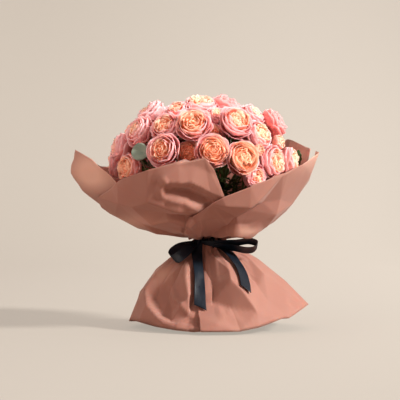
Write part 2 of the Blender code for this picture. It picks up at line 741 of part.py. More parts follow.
def shell(name, rows, thickness, look, collection):
    """Thin closed shell on a grid of points: an open surface of triangles with Solidify."""
    width = len(rows[0])
    points = [point for row in rows for point in row]
    faces = []
    for row in range(len(rows) - 1):
        for column in range(width - 1):
            corner = row * width + column
            faces.append((corner, corner + 1, corner + width + 1))
            faces.append((corner, corner + width + 1, corner + width))
    made = add_mesh(name + "_surface", points, faces, look, collection)
    solid = made.modifiers.new("Thickness", "SOLIDIFY")
    solid.thickness = thickness * MM
    solid.offset = 0.0
    bpy.context.view_layer.update()
    made = evaluated_copy(made, name, collection)
    made.data.name = name
    return closed_outward(made)


def twine(look, collection):
    """Binding twine: a turned ring whose profile has one round ridge for each turn."""
    outline = []
    for turn in range(TWINE_TURNS):
        height = (turn - (TWINE_TURNS - 1) / 2) * TWINE_PITCH
        for angle in TWINE_RIDGE_ANGLES:
            tilt = math.radians(angle)
            outline.append((TWINE_RADIUS * (1 + math.cos(tilt)), height + TWINE_RADIUS * math.sin(tilt)))
    reach = (TWINE_TURNS - 1) / 2 * TWINE_PITCH + TWINE_RADIUS * math.sin(tilt)
    outline += [(0.0, reach), (0.0, -reach)]
    points = [(TWINE_INNER_RADIUS + out, 0, WAIST_Z + height) for out, height in outline]
    mesh = bpy.data.meshes.new("twine_profile")
    edges = [(number, (number + 1) % len(points)) for number in range(len(points))]
    mesh.from_pydata([Vector(point) * MM for point in points], edges, [])
    ring = bpy.data.objects.new("twine_profile", mesh)
    mesh.materials.append(look)
    collection.objects.link(ring)
    turned = ring.modifiers.new("Turned", "SCREW")
    turned.steps = TWINE_SEGMENTS
    turned.render_steps = TWINE_SEGMENTS
    turned.use_merge_vertices = True
    turned.merge_threshold = 0.00001
    bpy.context.view_layer.update()
    return closed_outward(evaluated_copy(ring, "binding_twine", collection))


def strip(name, middles, across, look, collection):
    """Ribbon strip along its middle points, with the same direction over its width all along."""
    rows = []
    for number, middle in enumerate(middles):
        from_end = min(number, len(middles) - 1 - number)
        side = across * RIBBON_WIDTH / 2 * gathered(from_end)
        rows.append([middle - side, middle + side])
    return shell(name, rows, RIBBON_THICKNESS, look, collection)


def gathered(steps_from_knot):
    """Share of the ribbon's width at a number of steps from the knot."""
    return min(1.0, KNOT_GATHER + GATHER_EASE * steps_from_knot)


def tail(name, stations, look, collection):
    """Tail that starts in the knot and lies just off the wrap, laid out by azimuth and height."""
    middles = smooth_path([tail_point(azimuth, height) for azimuth, height in stations], 2)
    normals = smooth_path([tail_normal(azimuth, height) for azimuth, height in stations], 2)
    rows = []
    for number, (middle, normal) in enumerate(zip(middles, normals)):
        run = middles[min(number + 1, len(middles) - 1)] - middles[max(number - 1, 0)]
        side = run.cross(normal).normalized() * RIBBON_WIDTH / 2 * gathered(number)
        rows.append([middle - side, middle + side])
    return shell(name, rows, RIBBON_THICKNESS, look, collection)


def tail_normal(azimuth, height):
    """Direction out of the wrap where a tail lies on it."""
    if height > NECK_LOW_Z:
        return direction(azimuth)
    turn, rise = TAIL_SLOPE_STEP
    around = tail_point(azimuth + turn, height) - tail_point(azimuth - turn, height)
    up = tail_point(azimuth, height + rise) - tail_point(azimuth, height - rise)
    return around.cross(up).normalized()


def tail_point(azimuth, height):
    """Point just off the outmost layer of the wrap, and off the band at the neck."""
    if height > NECK_LOW_Z:
        return neck_point(azimuth, height, 2) + direction(azimuth) * TAIL_CLEARANCE
    low, high = -1.0, NEXT_TO_NECK
    for _ in range(LEVEL_HALVINGS):
        middle = (low + high) / 2
        if wrap_profile(azimuth, middle).y < height:
            low = middle
        else:
            high = middle
    return wrap_point(azimuth, low, 2, TAIL_CLEARANCE)


def ribbon(look, collection, workshop):
    """Band round the neck with a knot, two loops and two tails, as one solid."""
    bpy.ops.mesh.primitive_cylinder_add(
        vertices=BAND_SEGMENTS, radius=BAND_RADIUS * MM, depth=BAND_HEIGHT * MM, end_fill_type="NOTHING",
        location=(0, 0, WAIST_Z * MM),
    )
    band = bpy.context.object
    wall = band.modifiers.new("Thickness", "SOLIDIFY")
    wall.thickness = RIBBON_THICKNESS * MM
    wall.offset = 1.0
    band.data.materials.append(look)
    for home in band.users_collection:
        home.objects.unlink(band)
    collection.objects.link(band)
    bpy.context.view_layer.update()
    band = closed_outward(evaluated_copy(band, "band", collection))
    bpy.ops.mesh.primitive_uv_sphere_add(segments=KNOT_SEGMENTS, ring_count=KNOT_RINGS, radius=0.5 * MM)
    knot = bpy.context.object
    centre = direction(KNOT_AZIMUTH) * KNOT_RADIUS + Vector((0, 0, WAIST_Z))
    turn = Matrix.Rotation(math.radians(KNOT_AZIMUTH - 90), 4, "Z")
    knot.data.transform(Matrix.Translation(centre * MM) @ turn @ Matrix.Diagonal((*KNOT_SIZE, 1.0)))
    knot.data.materials.append(look)
    for home in knot.users_collection:
        home.objects.unlink(knot)
    collection.objects.link(knot)
    pieces = [band, knot]
    for name, (points, across) in (("left_loop", LEFT_LOOP), ("right_loop", RIGHT_LOOP)):
        path = smooth_path([Vector(point) for point in points], 2)
        pieces.append(strip(name, path, Vector(across).normalized(), look, collection))
    pieces.append(tail("left_tail", LEFT_TAIL, look, collection))
    pieces.append(tail("right_tail", RIGHT_TAIL, look, collection))
    return union("ribbon_bow", pieces, collection, workshop)


def build():
    for old in list(bpy.data.objects):
        bpy.data.objects.remove(old)
    collection = bpy.data.collections.new("Bunch of roses")
    workshop = bpy.data.collections.new("Cutters and joins")
    bpy.context.scene.collection.children.link(collection)
    bpy.context.scene.collection.children.link(workshop)
    pink = material("petals", (0.86, 0.40, 0.40), 0.55)
    green = material("stems_and_leaves", (0.10, 0.20, 0.06), 0.55)
    grey_green = material("eucalyptus", (0.30, 0.42, 0.32), 0.6)
    paper = material("wrap_paper", (0.60, 0.33, 0.26), 0.7)
    satin = material("ribbon_satin", (0.010, 0.016, 0.030), 0.3)
    hemp = material("twine", (0.45, 0.36, 0.22), 0.85)

    heads = place_heads()
    for number, head in enumerate(heads):
        head_solid(head, pink, collection, random.Random(number))

    groups = group_heads(heads)
    outer = [(SPRIG_AZIMUTH, "sprig", None)]
    middle = []
    for number, (ring, members) in enumerate(groups, 1):
        name = f"spray_{number:02d}"
        facing = sum((direction(head.azimuth()) for head in members), Vector())
        if ring == OUTER_RING_RADIUS:
            outer.append((azimuth_of(facing), name, members))
        elif ring == MIDDLE_RING_RADIUS:
            middle.append((azimuth_of(facing), name, members))
        else:
            spray(name, ring, 0.0, members, green, collection, workshop)
    outer.sort(key=lambda member: member[0])
    middle.sort(key=lambda member: member[0])
    outer_start = outer[0][0] - OUTER_LAG
    wanted = middle[0][0] - MIDDLE_LAG
    spacing = 360.0 / len(outer)
    middle_start = outer_start + round((wanted - outer_start) / spacing) * spacing
    for ring, start, members in ((OUTER_RING_RADIUS, outer_start, outer),
                                 (MIDDLE_RING_RADIUS, middle_start, middle)):
        for place, (_, name, carried) in enumerate(members):
            azimuth = start + 360.0 * place / len(members)
            if name == "sprig":
                eucalyptus(azimuth, grey_green, collection, workshop)
            else:
                spray(name, ring, azimuth, carried, green, collection, workshop)

    twine(hemp, collection)
    for wrap_sheet in SHEETS:
        sheet(*wrap_sheet, paper, collection)
    ribbon(satin, collection, workshop)


build()
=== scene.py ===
"""Bunch of roses: fine surfaces and finishes for a hand-tied bouquet in a folded paper wrap.

Lengths are in millimetres and become metres where a mesh is made. The front is -Y. An azimuth is
measured in degrees from the front towards +X. Every new surface is worked out as whole arrays of
points: a grid over two parameters, or a profile carried along a path.
"""
import math
from itertools import combinations

import bpy
import numpy as np
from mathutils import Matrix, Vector
from mathutils.geometry import delaunay_2d_cdt


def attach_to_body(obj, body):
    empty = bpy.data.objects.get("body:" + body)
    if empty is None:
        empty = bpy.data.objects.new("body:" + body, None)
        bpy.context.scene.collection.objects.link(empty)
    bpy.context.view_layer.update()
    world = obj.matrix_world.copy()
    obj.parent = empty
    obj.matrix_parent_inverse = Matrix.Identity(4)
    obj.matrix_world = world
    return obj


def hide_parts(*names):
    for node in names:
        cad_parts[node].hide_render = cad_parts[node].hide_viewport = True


bl_info = {
    "name": "Bunch of roses",
    "version": (1, 0, 0),
    "blender": (4, 5, 0),
    "location": "3D View > Sidebar > Roses",
    "description": "Dresses the bunch of roses: blooms, sprays, paper wrap, ribbon bow and stage",
    "category": "Add Mesh",
}

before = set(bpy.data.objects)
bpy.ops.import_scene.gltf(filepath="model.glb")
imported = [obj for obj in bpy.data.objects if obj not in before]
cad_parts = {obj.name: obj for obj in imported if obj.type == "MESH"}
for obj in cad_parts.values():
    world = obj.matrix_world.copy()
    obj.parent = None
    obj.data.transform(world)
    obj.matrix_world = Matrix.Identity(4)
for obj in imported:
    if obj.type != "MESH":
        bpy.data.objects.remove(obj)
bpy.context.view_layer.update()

MM = 0.001
CLEARANCE = 0.3

# Dome of blooms, as in the part's source
DOME_X = -20.0
FACING_CENTRE = Vector((DOME_X, 30.0, 345.0))
SPREAD_ROUNDS = 300
SPREAD_GAP = 0.6
# Heads: name, centre, radius, and how far each leans to the apricot side of its colour, where -1 is
# deep coral, 0 pink and 1 apricot. One without a lean has the usual one with some chance in it.
FRONT_HEADS = (
    ("crown_front", -17, -46, 480, 34, 0.55),
    ("crown_right", 56, 6, 478, 33, -0.7),
    ("crown_left", -54, 20, 476, 32, 0.15),
    ("crown_low", 14, -74, 462, 22, None),
    ("shoulder_left", -65, -74, 466, 27, 0.2),
    ("shoulder_far_left", -127, 4, 470, 32, -0.1),
    ("shoulder_right", 98, -26, 465, 26, None),
    ("upper_middle", -30, -136, 438, 34, 0.70),
    ("upper_right", 54, -112, 442, 34, 0.45),
    ("upper_left", -87, -104, 440, 31, 0.40),
    ("between_upper", 12, -104, 426, 22, None),
    ("side_left", -151, -66, 428, 32, 0.25),
    ("side_right", 109, -84, 414, 31, 0.55),
    ("far_right_high", 142, 10, 448, 33, -0.8),
    ("lower_left", -95, -150, 383, 33, 0.45),
    ("lower_middle", 8, -166, 381, 33, 0.80),
    ("lower_right", 70, -150, 367, 34, 0.95),
    ("between_lower", -44, -128, 378, 26, 1.0),
    ("rim_far_left", -196, -10, 393, 32, 0.1),
    ("rim_left", -172, -86, 346, 30, 0.9),
    ("rim_right", 136, -78, 365, 33, 0.6),
    ("rim_far_right", 172, -12, 365, 29, 0.85),
    ("rim_front_right", 98, -106, 330, 27, 0.3),
    ("edge_left", -205, 44, 362, 30, None),
)
BUD_HEADS = (
    ("bud_right", 148, -46, 403, 17, 1.0),
    ("bud_middle", 104, -112, 385, 13, 0.9),
)
BACK_ROWS = (
    (368, 178, 95, 240, 7),
    (425, 158, 112, 250, 6),
    (462, 108, 108, 238, 4),
)
BACK_HEAD_RADIUS = 34
HEAD_BASE_HEIGHT = -0.80
BUD_BASE_HEIGHT = -0.72

USUAL_WARMTH = 0.35
WARMTH_CHANCE = 0.3


UP = np.array([0.0, 0, 1])


def unit(vectors):
    """Vectors of length one along the last axis."""
    vectors = np.asarray(vectors, dtype=float)
    return vectors / np.maximum(np.linalg.norm(vectors, axis=-1, keepdims=True), 1e-9)


def ease(value, low, high):
    """Smooth step from 0 at low to 1 at high."""
    share = np.clip((np.asarray(value, dtype=float) - low) / (high - low), 0, 1)
    return share * share * (3 - 2 * share)


def bell(value, centre, width):
    """Bump of height 1 at the centre that falls off over a width."""
    return np.exp(-(((value - centre) / width) ** 2))


def cubic(first, second, third, last, share):
    """Point at a share of the way along a cubic Bezier curve."""
    rest = 1 - share
    near = first * rest ** 3 + 3 * second * rest ** 2 * share
    return near + 3 * third * rest * share ** 2 + last * share ** 3


def level_direction(azimuth):
    """Level unit vectors at azimuths in degrees."""
    turn = np.radians(azimuth)
    return np.stack([np.sin(turn), -np.cos(turn), np.zeros_like(turn)], axis=-1)


def wrapped(azimuth):
    """The same azimuths, brought between -180 and 180 degrees."""
    return (azimuth + 180) % 360 - 180


def roll_matrix(angle):
    """Matrix of a turn about the Z axis by an angle in radians."""
    cos, sin = math.cos(angle), math.sin(angle)
    return np.array([[cos, -sin, 0], [sin, cos, 0], [0, 0, 1]])


def grid_faces(rows, columns, joined=False):
    """Four-sided faces of a grid of points; joined closes it round from the last column to the first."""
    index = np.arange(rows * columns).reshape(rows, columns)
    if joined:
        index = np.concatenate([index, index[:, :1]], axis=1)
    corners = (index[:-1, :-1], index[:-1, 1:], index[1:, 1:], index[1:, :-1])
    return np.stack(corners, axis=-1).reshape(-1, 4)


def sheet_faces(rows, columns):
    """Faces of a closed thin sheet: a front grid, a back grid and the strip between their rims."""
    count = rows * columns
    index = np.arange(count).reshape(rows, columns)
    front = grid_faces(rows, columns)
    back = front[:, ::-1] + count
    rim = np.concatenate([index[0], index[1:, -1], index[-1, -2::-1], index[-2:0:-1, 0]])
    after = np.roll(rim, -1)
    strip = np.stack([after, rim, rim + count, after + count], axis=-1)
    return np.concatenate([front, back, strip])


def fan_faces(tip, first, count, turned=False):
    """Triangles from a tip to a closed ring of points that starts at a first one."""
    around = first + np.arange(count)
    after = np.roll(around, -1)
    pair = (around, after) if turned else (after, around)
    return np.stack([np.full(count, tip), *pair], axis=-1)


def bar_faces(rows, sides):
    """Faces of a row of rings, each end closed by a fan to a point of its own after the rings."""
    count = rows * sides
    ends = [fan_faces(count, 0, sides), fan_faces(count + 1, count - sides, sides, turned=True)]
    return grid_faces(rows, sides, joined=True), np.concatenate(ends)


def sheet_normals(grid):
    """Unit normals of grids of points whose last three axes are row, column and xyz."""
    across = np.gradient(grid, axis=-2)
    along = np.gradient(grid, axis=-3)
    return unit(np.cross(across, along))


def sheet_values(number, rows, columns, kind, own, last):
    """Tint and place values of sheets: (kind, share along, own, last) and (across, along)."""
    along = np.linspace(0, 1, rows)[None, :, None]
    tint = np.empty((number, rows, columns, 4))
    for channel, value in enumerate((kind, along, own, last)):
        tint[..., channel] = value
    place = np.zeros((number, rows, columns, 3))
    place[..., 0] = np.linspace(-1, 1, columns)
    place[..., 1] = along
    return tint, place


class Surface:
    """Points, faces and point values of one piece, gathered before its mesh is made."""

    def __init__(self):
        self.points = []
        self.quads = []
        self.triangles = []
        self.tints = []
        self.places = []
        self.count = 0

    def add(self, points, quads=None, triangles=None, tint=(0, 0, 0, 1), place=(0, 0, 0)):
        """Adds points with their faces. tint and place are one value each, or one for each point."""
        points = np.asarray(points, dtype=float).reshape(-1, 3)
        if quads is not None:
            self.quads.append(np.asarray(quads) + self.count)
        if triangles is not None:
            self.triangles.append(np.asarray(triangles) + self.count)
        self.points.append(points)
        self.tints.append(np.broadcast_to(tint, (len(points), 4)))
        self.places.append(np.broadcast_to(place, (len(points), 3)))
        self.count += len(points)

    def add_sheets(self, grids, thickness, tint, place, rim_share=0.3, inner_tint=None):
        """Adds closed thin sheets on grids (sheet, row, column, xyz), thinner at their rims.

        The first face looks out along the grid's normal; inner_tint, where given, is the other face's.
        """
        number, rows, columns = grids.shape[:3]
        half = np.full((rows, columns), thickness / 2)
        half[0] = half[-1] = half[:, 0] = half[:, -1] = thickness / 2 * rim_share
        offset = sheet_normals(grids) * half[..., None]
        both = np.stack([grids + offset, grids - offset], axis=1)
        faces = sheet_faces(rows, columns)[None] + np.arange(number)[:, None, None] * (2 * rows * columns)

        def doubled(*values):
            full = [np.broadcast_to(value, (*grids.shape[:3], np.shape(value)[-1])) for value in values]
            return np.stack(full, axis=1).reshape(-1, full[0].shape[-1])

        tints = doubled(tint, tint if inner_tint is None else inner_tint)
        self.add(both, faces.reshape(-1, 4), tint=tints, place=doubled(place, place))

    def add_tube(self, path, radii, sides, tint=(0, 0, 0, 1)):
        """Adds a round bar: a circle carried along a path, with flat ends."""
        path = np.asarray(path, dtype=float)
        radii = np.broadcast_to(radii, len(path))
        run = unit(np.gradient(path, axis=0))
        guide = np.where(np.abs(run[:, :1]) < 0.8, [[1.0, 0, 0]], [[0, 1.0, 0]])
        side = unit(np.cross(run, guide))
        other = np.cross(run, side)
        turn = np.linspace(0, math.tau, sides, endpoint=False)[None, :, None]
        ring = side[:, None] * np.cos(turn) + other[:, None] * np.sin(turn)
        points = (path[:, None] + ring * radii[:, None, None]).reshape(-1, 3)
        share = np.repeat(np.linspace(0, 1, len(path)), sides)
        around = np.tile(np.arange(sides) / sides, len(path))
        place = np.concatenate([np.stack([around, share, share * 0], axis=-1), [[0, 0, 0], [0, 1, 0]]])
        self.add(np.concatenate([points, path[[0, -1]]]), *bar_faces(len(path), sides), tint, place)

    def make(self, name, look):
        """Makes the mesh object, in metres, with its two point attributes."""
        points = np.concatenate(self.points) * MM
        quads = np.concatenate(self.quads) if self.quads else np.zeros((0, 4), int)
        triangles = np.concatenate(self.triangles) if self.triangles else np.zeros((0, 3), int)
        corners = np.concatenate([quads.ravel(), triangles.ravel()]).astype(np.int32)
        starts = np.concatenate([
            np.arange(len(quads)) * 4, len(quads) * 4 + np.arange(len(triangles)) * 3,
        ]).astype(np.int32)
        mesh = bpy.data.meshes.new(name)
        mesh.vertices.add(len(points))
        mesh.vertices.foreach_set("co", points.ravel())
        mesh.loops.add(len(corners))
        mesh.loops.foreach_set("vertex_index", corners)
        mesh.polygons.add(len(starts))
        mesh.polygons.foreach_set("loop_start", starts)
        mesh.update(calc_edges=True)
        for label, kind, field, values in (
            ("tint", "FLOAT_COLOR", "color", self.tints), ("place", "FLOAT_VECTOR", "vector", self.places),
        ):
            layer = mesh.attributes.new(label, kind, "POINT")
            layer.data.foreach_set(field, np.concatenate(values).astype(np.float32).ravel())
        mesh.shade_smooth()
        mesh.materials.append(look)
        piece = bpy.data.objects.new(name, mesh)
        bpy.context.scene.collection.objects.link(piece)
        return piece


def attach(piece, slot, *nodes):
    """Lets a piece ride on the one body, in the place of the solids it stands for."""
    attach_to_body(piece, "root")
    if nodes:
        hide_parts(*nodes)


# Materials


class Nodes:
    """Adds nodes to a tree. An input given as a socket is linked, and one given as a value is set."""

    def __init__(self, tree):
        self.tree = tree

    def feed(self, node, inputs):
        """Links or sets a node's inputs, given by name or number. A colour is always opaque."""
        for name, value in inputs.items():
            socket = node.inputs[name]
            if isinstance(value, bpy.types.NodeSocket):
                self.tree.links.new(value, socket)
            elif socket.type == "RGBA":
                socket.default_value = (*value[:3], 1.0)
            else:
                socket.default_value = value

    def add(self, kind, inputs=None, **settings):
        made = self.tree.nodes.new("ShaderNode" + kind)
        for name, value in settings.items():
            setattr(made, name, value)
        self.feed(made, inputs or {})
        return made

    def mix(self, share, first, second, blend="MIX"):
        settings = {"data_type": "RGBA", "blend_type": blend, "clamp_factor": True}
        return self.add("Mix", {0: share, 6: first, 7: second}, **settings).outputs[2]

    def math(self, operation, *values, clamp=False):
        made = self.add("Math", dict(enumerate(values)), operation=operation, use_clamp=clamp)
        return made.outputs[0]

    def times(self, first, second):
        return self.math("MULTIPLY", first, second)

    def stretch(self, value, low=0.0, high=1.0, to_low=0.0, to_high=1.0):
        made = self.add("MapRange", {
            "Value": value, "From Min": low, "From Max": high, "To Min": to_low, "To Max": to_high,
        }, interpolation_type="SMOOTHSTEP")
        return made.outputs["Result"]

    def position(self):
        """Place of a point in its object's own coordinates."""
        return self.add("TexCoord").outputs["Object"]


def new_group(name, inputs, outputs):
    """Node group with named sockets: inputs as (name, kind, default), outputs as (name, kind)."""
    tree = bpy.data.node_groups.new(name, "ShaderNodeTree")
    for label, kind, default in inputs:
        socket = tree.interface.new_socket(label, in_out="INPUT", socket_type="NodeSocket" + kind)
        if default is not None:
            socket.default_value = default
    for label, kind in outputs:
        tree.interface.new_socket(label, in_out="OUTPUT", socket_type="NodeSocket" + kind)
    given, result = (tree.nodes.new(kind) for kind in ("NodeGroupInput", "NodeGroupOutput"))
    return tree, Nodes(tree), given.outputs, result


def mottle_group():
    """Cloudy mix of two colours, with the noise's value for use as a mask."""
    tree, make, given, result = new_group(
        "Mottle",
        (("Vector", "Vector", None), ("Scale", "Float", 40.0),
         ("Detail", "Float", 3.0), ("Contrast", "Float", 0.5),
         ("First", "Color", None), ("Second", "Color", (1, 1, 1, 1))),
        (("Color", "Color"), ("Mask", "Float")),
    )
    noise = make.add("TexNoise", {label: given[label] for label in ("Vector", "Scale", "Detail")})
    centred = make.math("SUBTRACT", noise.outputs["Fac"], 0.5)
    share = make.math("MULTIPLY_ADD", centred, given["Contrast"], 0.5, clamp=True)
    make.feed(result, {"Color": make.mix(share, given["First"], given["Second"]), "Mask": share})
    return tree


def vein_group():
    """Fine ribs that fan out from the foot of a petal or leaf, from its own place attribute."""
    tree, make, given, result = new_group(
        "Veins",
        (("Across", "Float", 0.0), ("Along", "Float", 0.0),
         ("Number", "Float", 14.0), ("Slant", "Float", 0.0)),
        (("Height", "Float"),),
    )
    slanted = make.times(given["Along"], given["Slant"])
    rising = make.math("SUBTRACT", make.math("ABSOLUTE", given["Across"]), slanted)
    phase = make.times(rising, given["Number"])
    wave = make.math("SINE", make.times(phase, math.tau))
    lifted = make.math("MULTIPLY_ADD", wave, 0.5, 0.5)
    make.feed(result, {"Height": make.math("POWER", lifted, 3.0)})
    return tree


def fibre_group():
    """Fine fibres and grain: the height of a matted surface such as paper, twine or bark."""
    tree, make, given, result = new_group(
        "Fibres",
        (("Vector", "Vector", None), ("Scale", "Float", 900.0),
         ("Stretch", "Vector", (1.0, 1.0, 0.25))),
        (("Height", "Float"),),
    )
    drawn = make.add("VectorMath", {0: given["Vector"], 1: given["Stretch"]}, operation="MULTIPLY")
    placed = {"Vector": drawn.outputs[0], "Scale": given["Scale"]}
    fine = make.add("TexNoise", {**placed, "Detail": 4.0, "Roughness": 0.65})
    flecks = make.add("TexVoronoi", placed)
    height = make.math("MULTIPLY_ADD", flecks.outputs["Distance"], 0.4, fine.outputs["Fac"])
    make.feed(result, {"Height": height})
    return tree


def group(make, name, **inputs):
    """Places a shared node group, building it the first time, on the object's own coordinates."""
    builders = {"Mottle": mottle_group, "Veins": vein_group, "Fibres": fibre_group}
    tree = bpy.data.node_groups.get(name) or builders[name]()
    made = make.add("Group", inputs, node_tree=tree)
    if "Vector" in made.inputs:
        make.feed(made, {"Vector": make.position()})
    return made.outputs


def new_look(name):
    """New material, its nodes and its Principled shader."""
    look = bpy.data.materials.new(name)
    look.use_nodes = True
    return look, Nodes(look.node_tree), look.node_tree.nodes["Principled BSDF"]


def point_values(make):
    """Reads the tint attribute's channels and the place attribute's across and along values."""
    tint = make.add("Attribute", attribute_name="tint")
    channels = make.add("SeparateColor", {"Color": tint.outputs["Color"]}).outputs
    place = make.add("Attribute", attribute_name="place")
    axes = make.add("SeparateXYZ", {"Vector": place.outputs["Vector"]}).outputs
    return channels, tint.outputs["Alpha"], axes


def bump(make, height, strength, depth):
    """Normal bent by a height socket; depth is in metres."""
    made = make.add("Bump", {"Height": height, "Strength": strength, "Distance": depth})
    return made.outputs["Normal"]


def petal_look(settings):
    """Petals: coral at the foot, pink on the face and pale at the rim, and apricot in the heart.

    The tint attribute holds how far out the petal stands, how far up it a point lies, a value of the
    petal's own and the bloom's warmth.
    """
    look, make, shader = new_look("petals")
    (openness, height, own), warmth, (across, along, _) = point_values(make)
    # Outer petals deepen to coral towards the foot: partly their own colour, partly painted shade low in the
    # bloom
    outer = make.mix(make.stretch(height, 0.15, 0.80), settings.petal_shade, settings.petal_pink)
    outer = make.mix(make.stretch(height, 0.70, 1.0), outer, settings.petal_rim)
    # Painted shade: the inner petals darken to orange deep between them
    inner = make.mix(make.stretch(height, 0.45, 0.95), settings.heart_shade, settings.heart_apricot)
    inner = make.mix(make.stretch(height, 0.78, 1.0), inner, settings.heart_rim)
    inner = make.mix(make.stretch(warmth, 0.55, 1.0, 0.0, 0.45), inner, settings.heart_apricot)
    shifted = make.math("ADD", openness, make.times(make.math("SUBTRACT", own, 0.5), 0.30))
    cooler = make.times(make.math("SUBTRACT", 0.5, warmth), 0.75)
    outward = make.stretch(make.math("ADD", shifted, cooler), 0.20, 0.62)
    base = make.mix(outward, inner, outer)
    base = make.mix(make.stretch(warmth, -1.0, 0.0, 0.6, 0.0), base, settings.petal_shade)
    mottle = group(make, "Mottle", Scale=55.0, Contrast=1.6, First=(1.0, 0.90, 0.90))
    veins = group(make, "Veins", Across=across, Along=along, Number=13.0, Slant=0.25)
    fine = group(make, "Fibres", Scale=1400.0, Stretch=(1.0, 1.0, 0.6))
    relief = make.math("MULTIPLY_ADD", fine["Height"], 0.35, veins["Height"])
    shader.subsurface_method = "BURLEY"
    make.feed(shader, {
        "Base Color": make.mix(1.0, base, mottle["Color"], "MULTIPLY"),
        "Normal": bump(make, relief, 0.12, 0.0004),
        "Roughness": make.stretch(mottle["Mask"], 0.0, 1.0, 0.46, 0.60),
        "Subsurface Weight": 0.8, "Subsurface Radius": (1.0, 0.60, 0.50), "Subsurface Scale": 0.005,
        "Sheen Weight": 0.08, "Sheen Roughness": 0.5, "Specular IOR Level": 0.2,
    })
    return look


def green_look(settings):
    """Stems, hips, sepals and rose leaves; the tint's red is 0 on stems, 0.5 on sepals and 1 on leaves."""
    look, make, shader = new_look("stems_and_leaves")
    (kind, along_piece, own), _, (across, along, _) = point_values(make)
    leaf = make.mix(make.stretch(own), settings.leaf_dark, settings.leaf_light)
    veins = group(make, "Veins", Across=across, Along=along, Number=5.0, Slant=0.9)
    leaf = make.mix(make.times(veins["Height"], 0.35), leaf, settings.leaf_vein)
    midrib = make.stretch(make.math("ABSOLUTE", across), 0.0, 0.10, 0.7, 0.0)
    leaf = make.mix(midrib, leaf, settings.leaf_vein)
    stem = make.mix(make.stretch(along_piece), settings.stem_foot, settings.stem_top)
    base = make.mix(make.stretch(kind, 0.0, 0.5), stem, leaf)
    mottle = group(make, "Mottle", Scale=90.0, Contrast=1.5, First=(0.80, 0.84, 0.72))
    fine = group(make, "Fibres", Scale=1100.0, Stretch=(1.0, 1.0, 0.3))
    relief = make.math("MULTIPLY_ADD", veins["Height"], 0.8, fine["Height"])
    make.feed(shader, {
        "Base Color": make.mix(1.0, base, mottle["Color"], "MULTIPLY"),
        "Normal": bump(make, relief, 0.35, 0.0005),
        "Roughness": make.stretch(mottle["Mask"], 0.0, 1.0, 0.38, 0.58),
    })
    return look


def eucalyptus_look(settings):
    """Round waxy leaves: grey-green with a bloom, pale ribs and a browner stem."""
    look, make, shader = new_look("eucalyptus")
    (kind, _, _), _, (across, along, _) = point_values(make)
    waxy = group(
        make, "Mottle", Scale=70.0, Contrast=1.8, First=settings.eucalyptus_dark,
        Second=settings.eucalyptus_light,
    )
    veins = group(make, "Veins", Across=across, Along=along, Number=4.0, Slant=0.7)
    blade = make.mix(make.times(veins["Height"], 0.10), waxy["Color"], (0.50, 0.60, 0.50))
    make.feed(shader, {
        "Base Color": make.mix(make.stretch(kind), (0.20, 0.17, 0.10), blade),
        "Normal": bump(make, veins["Height"], 0.12, 0.0004),
        "Roughness": make.stretch(waxy["Mask"], 0.0, 1.0, 0.50, 0.66),
    })
    return look


def paper_look(settings):
    """Uncoated wrapping paper: matte fibres, a faint cloudiness, creases paled by wear and a painted
    highlight, and painted light where light would come through.
    """
    look, make, shader = new_look("wrap_paper")
    (crease, painted_light, _), _, _ = point_values(make)
    cloud = group(
        make, "Mottle", Scale=14.0, Detail=5.0, Contrast=1.3, First=settings.paper_shade,
        Second=settings.paper_colour,
    )
    # Creases paler: partly wear of the paper, partly a painted highlight along the folds
    worn_and_lit = make.mix(make.times(crease, 0.35), cloud["Color"], settings.paper_crease_worn_and_lit)
    fibres = group(make, "Fibres", Scale=1500.0, Stretch=(1.0, 0.7, 0.5))
    make.feed(shader, {
        # Painted light: brighter where light would come through the paper
        "Base Color": make.mix(make.times(painted_light, 0.75), worn_and_lit, settings.painted_light_colour),
        "Normal": bump(make, fibres["Height"], 0.22, 0.0002),
        "Roughness": make.stretch(cloud["Mask"], 0.0, 1.0, 0.62, 0.74),
        "Subsurface Weight": 0.30, "Subsurface Radius": (1.0, 0.40, 0.22), "Subsurface Scale": 0.0015,
        "Specular IOR Level": 0.35, "Sheen Weight": 0.15, "Sheen Roughness": 0.6,
    })
    return look


def satin_look(settings):
    """Satin ribbon: a fine cross weave, a soft gloss, and raised selvedges that are a little darker."""
    look, make, shader = new_look("ribbon_satin")
    _, _, (across, along, _) = point_values(make)
    cloud = group(
        make, "Mottle", Scale=160.0, Contrast=1.2, First=settings.satin_dark, Second=settings.satin_light,
    )
    selvedge = make.stretch(make.math("ABSOLUTE", across), 0.88, 0.96)
    threads = make.math("SINE", make.times(along, 2400.0))
    cords = make.math("SINE", make.times(across, 120.0))
    weave = make.math("ADD", make.times(threads, 0.6), make.times(cords, 0.4))
    height = make.math("ADD", weave, make.times(selvedge, 2.0))
    make.feed(shader, {
        "Base Color": make.mix(make.times(selvedge, 0.5), cloud["Color"], settings.satin_dark),
        "Normal": bump(make, height, 0.15, 0.00012),
        "Roughness": make.stretch(cloud["Mask"], 0.0, 1.0, 0.26, 0.36),
        "Specular IOR Level": 0.45,
    })
    return look


def twine_look():
    """Natural fibre twine: twisted strands, with painted shade darkening the grooves between them."""
    look, make, shader = new_look("twine")
    _, _, (around, along, _) = point_values(make)
    twist = make.times(make.math("ADD", make.times(along, 90.0), around), math.tau)
    strand = make.stretch(make.math("SINE", twist), -1.0, 0.6)
    fibre = group(
        make, "Mottle", Scale=900.0, Contrast=2.0, First=(0.36, 0.27, 0.15), Second=(0.62, 0.50, 0.33),
    )
    hairs = group(make, "Fibres", Scale=2500.0, Stretch=(0.4, 0.4, 1.0))
    relief = make.math("ADD", strand, make.times(hairs["Height"], 0.4))
    make.feed(shader, {
        # Painted shade: the grooves between the strands are darker
        "Base Color": make.mix(strand, (0.20, 0.14, 0.07), fibre["Color"]),
        "Normal": bump(make, relief, 0.6, 0.0005),
        "Roughness": make.stretch(hairs["Height"], 0.2, 0.9, 0.75, 0.95),
    })
    return look


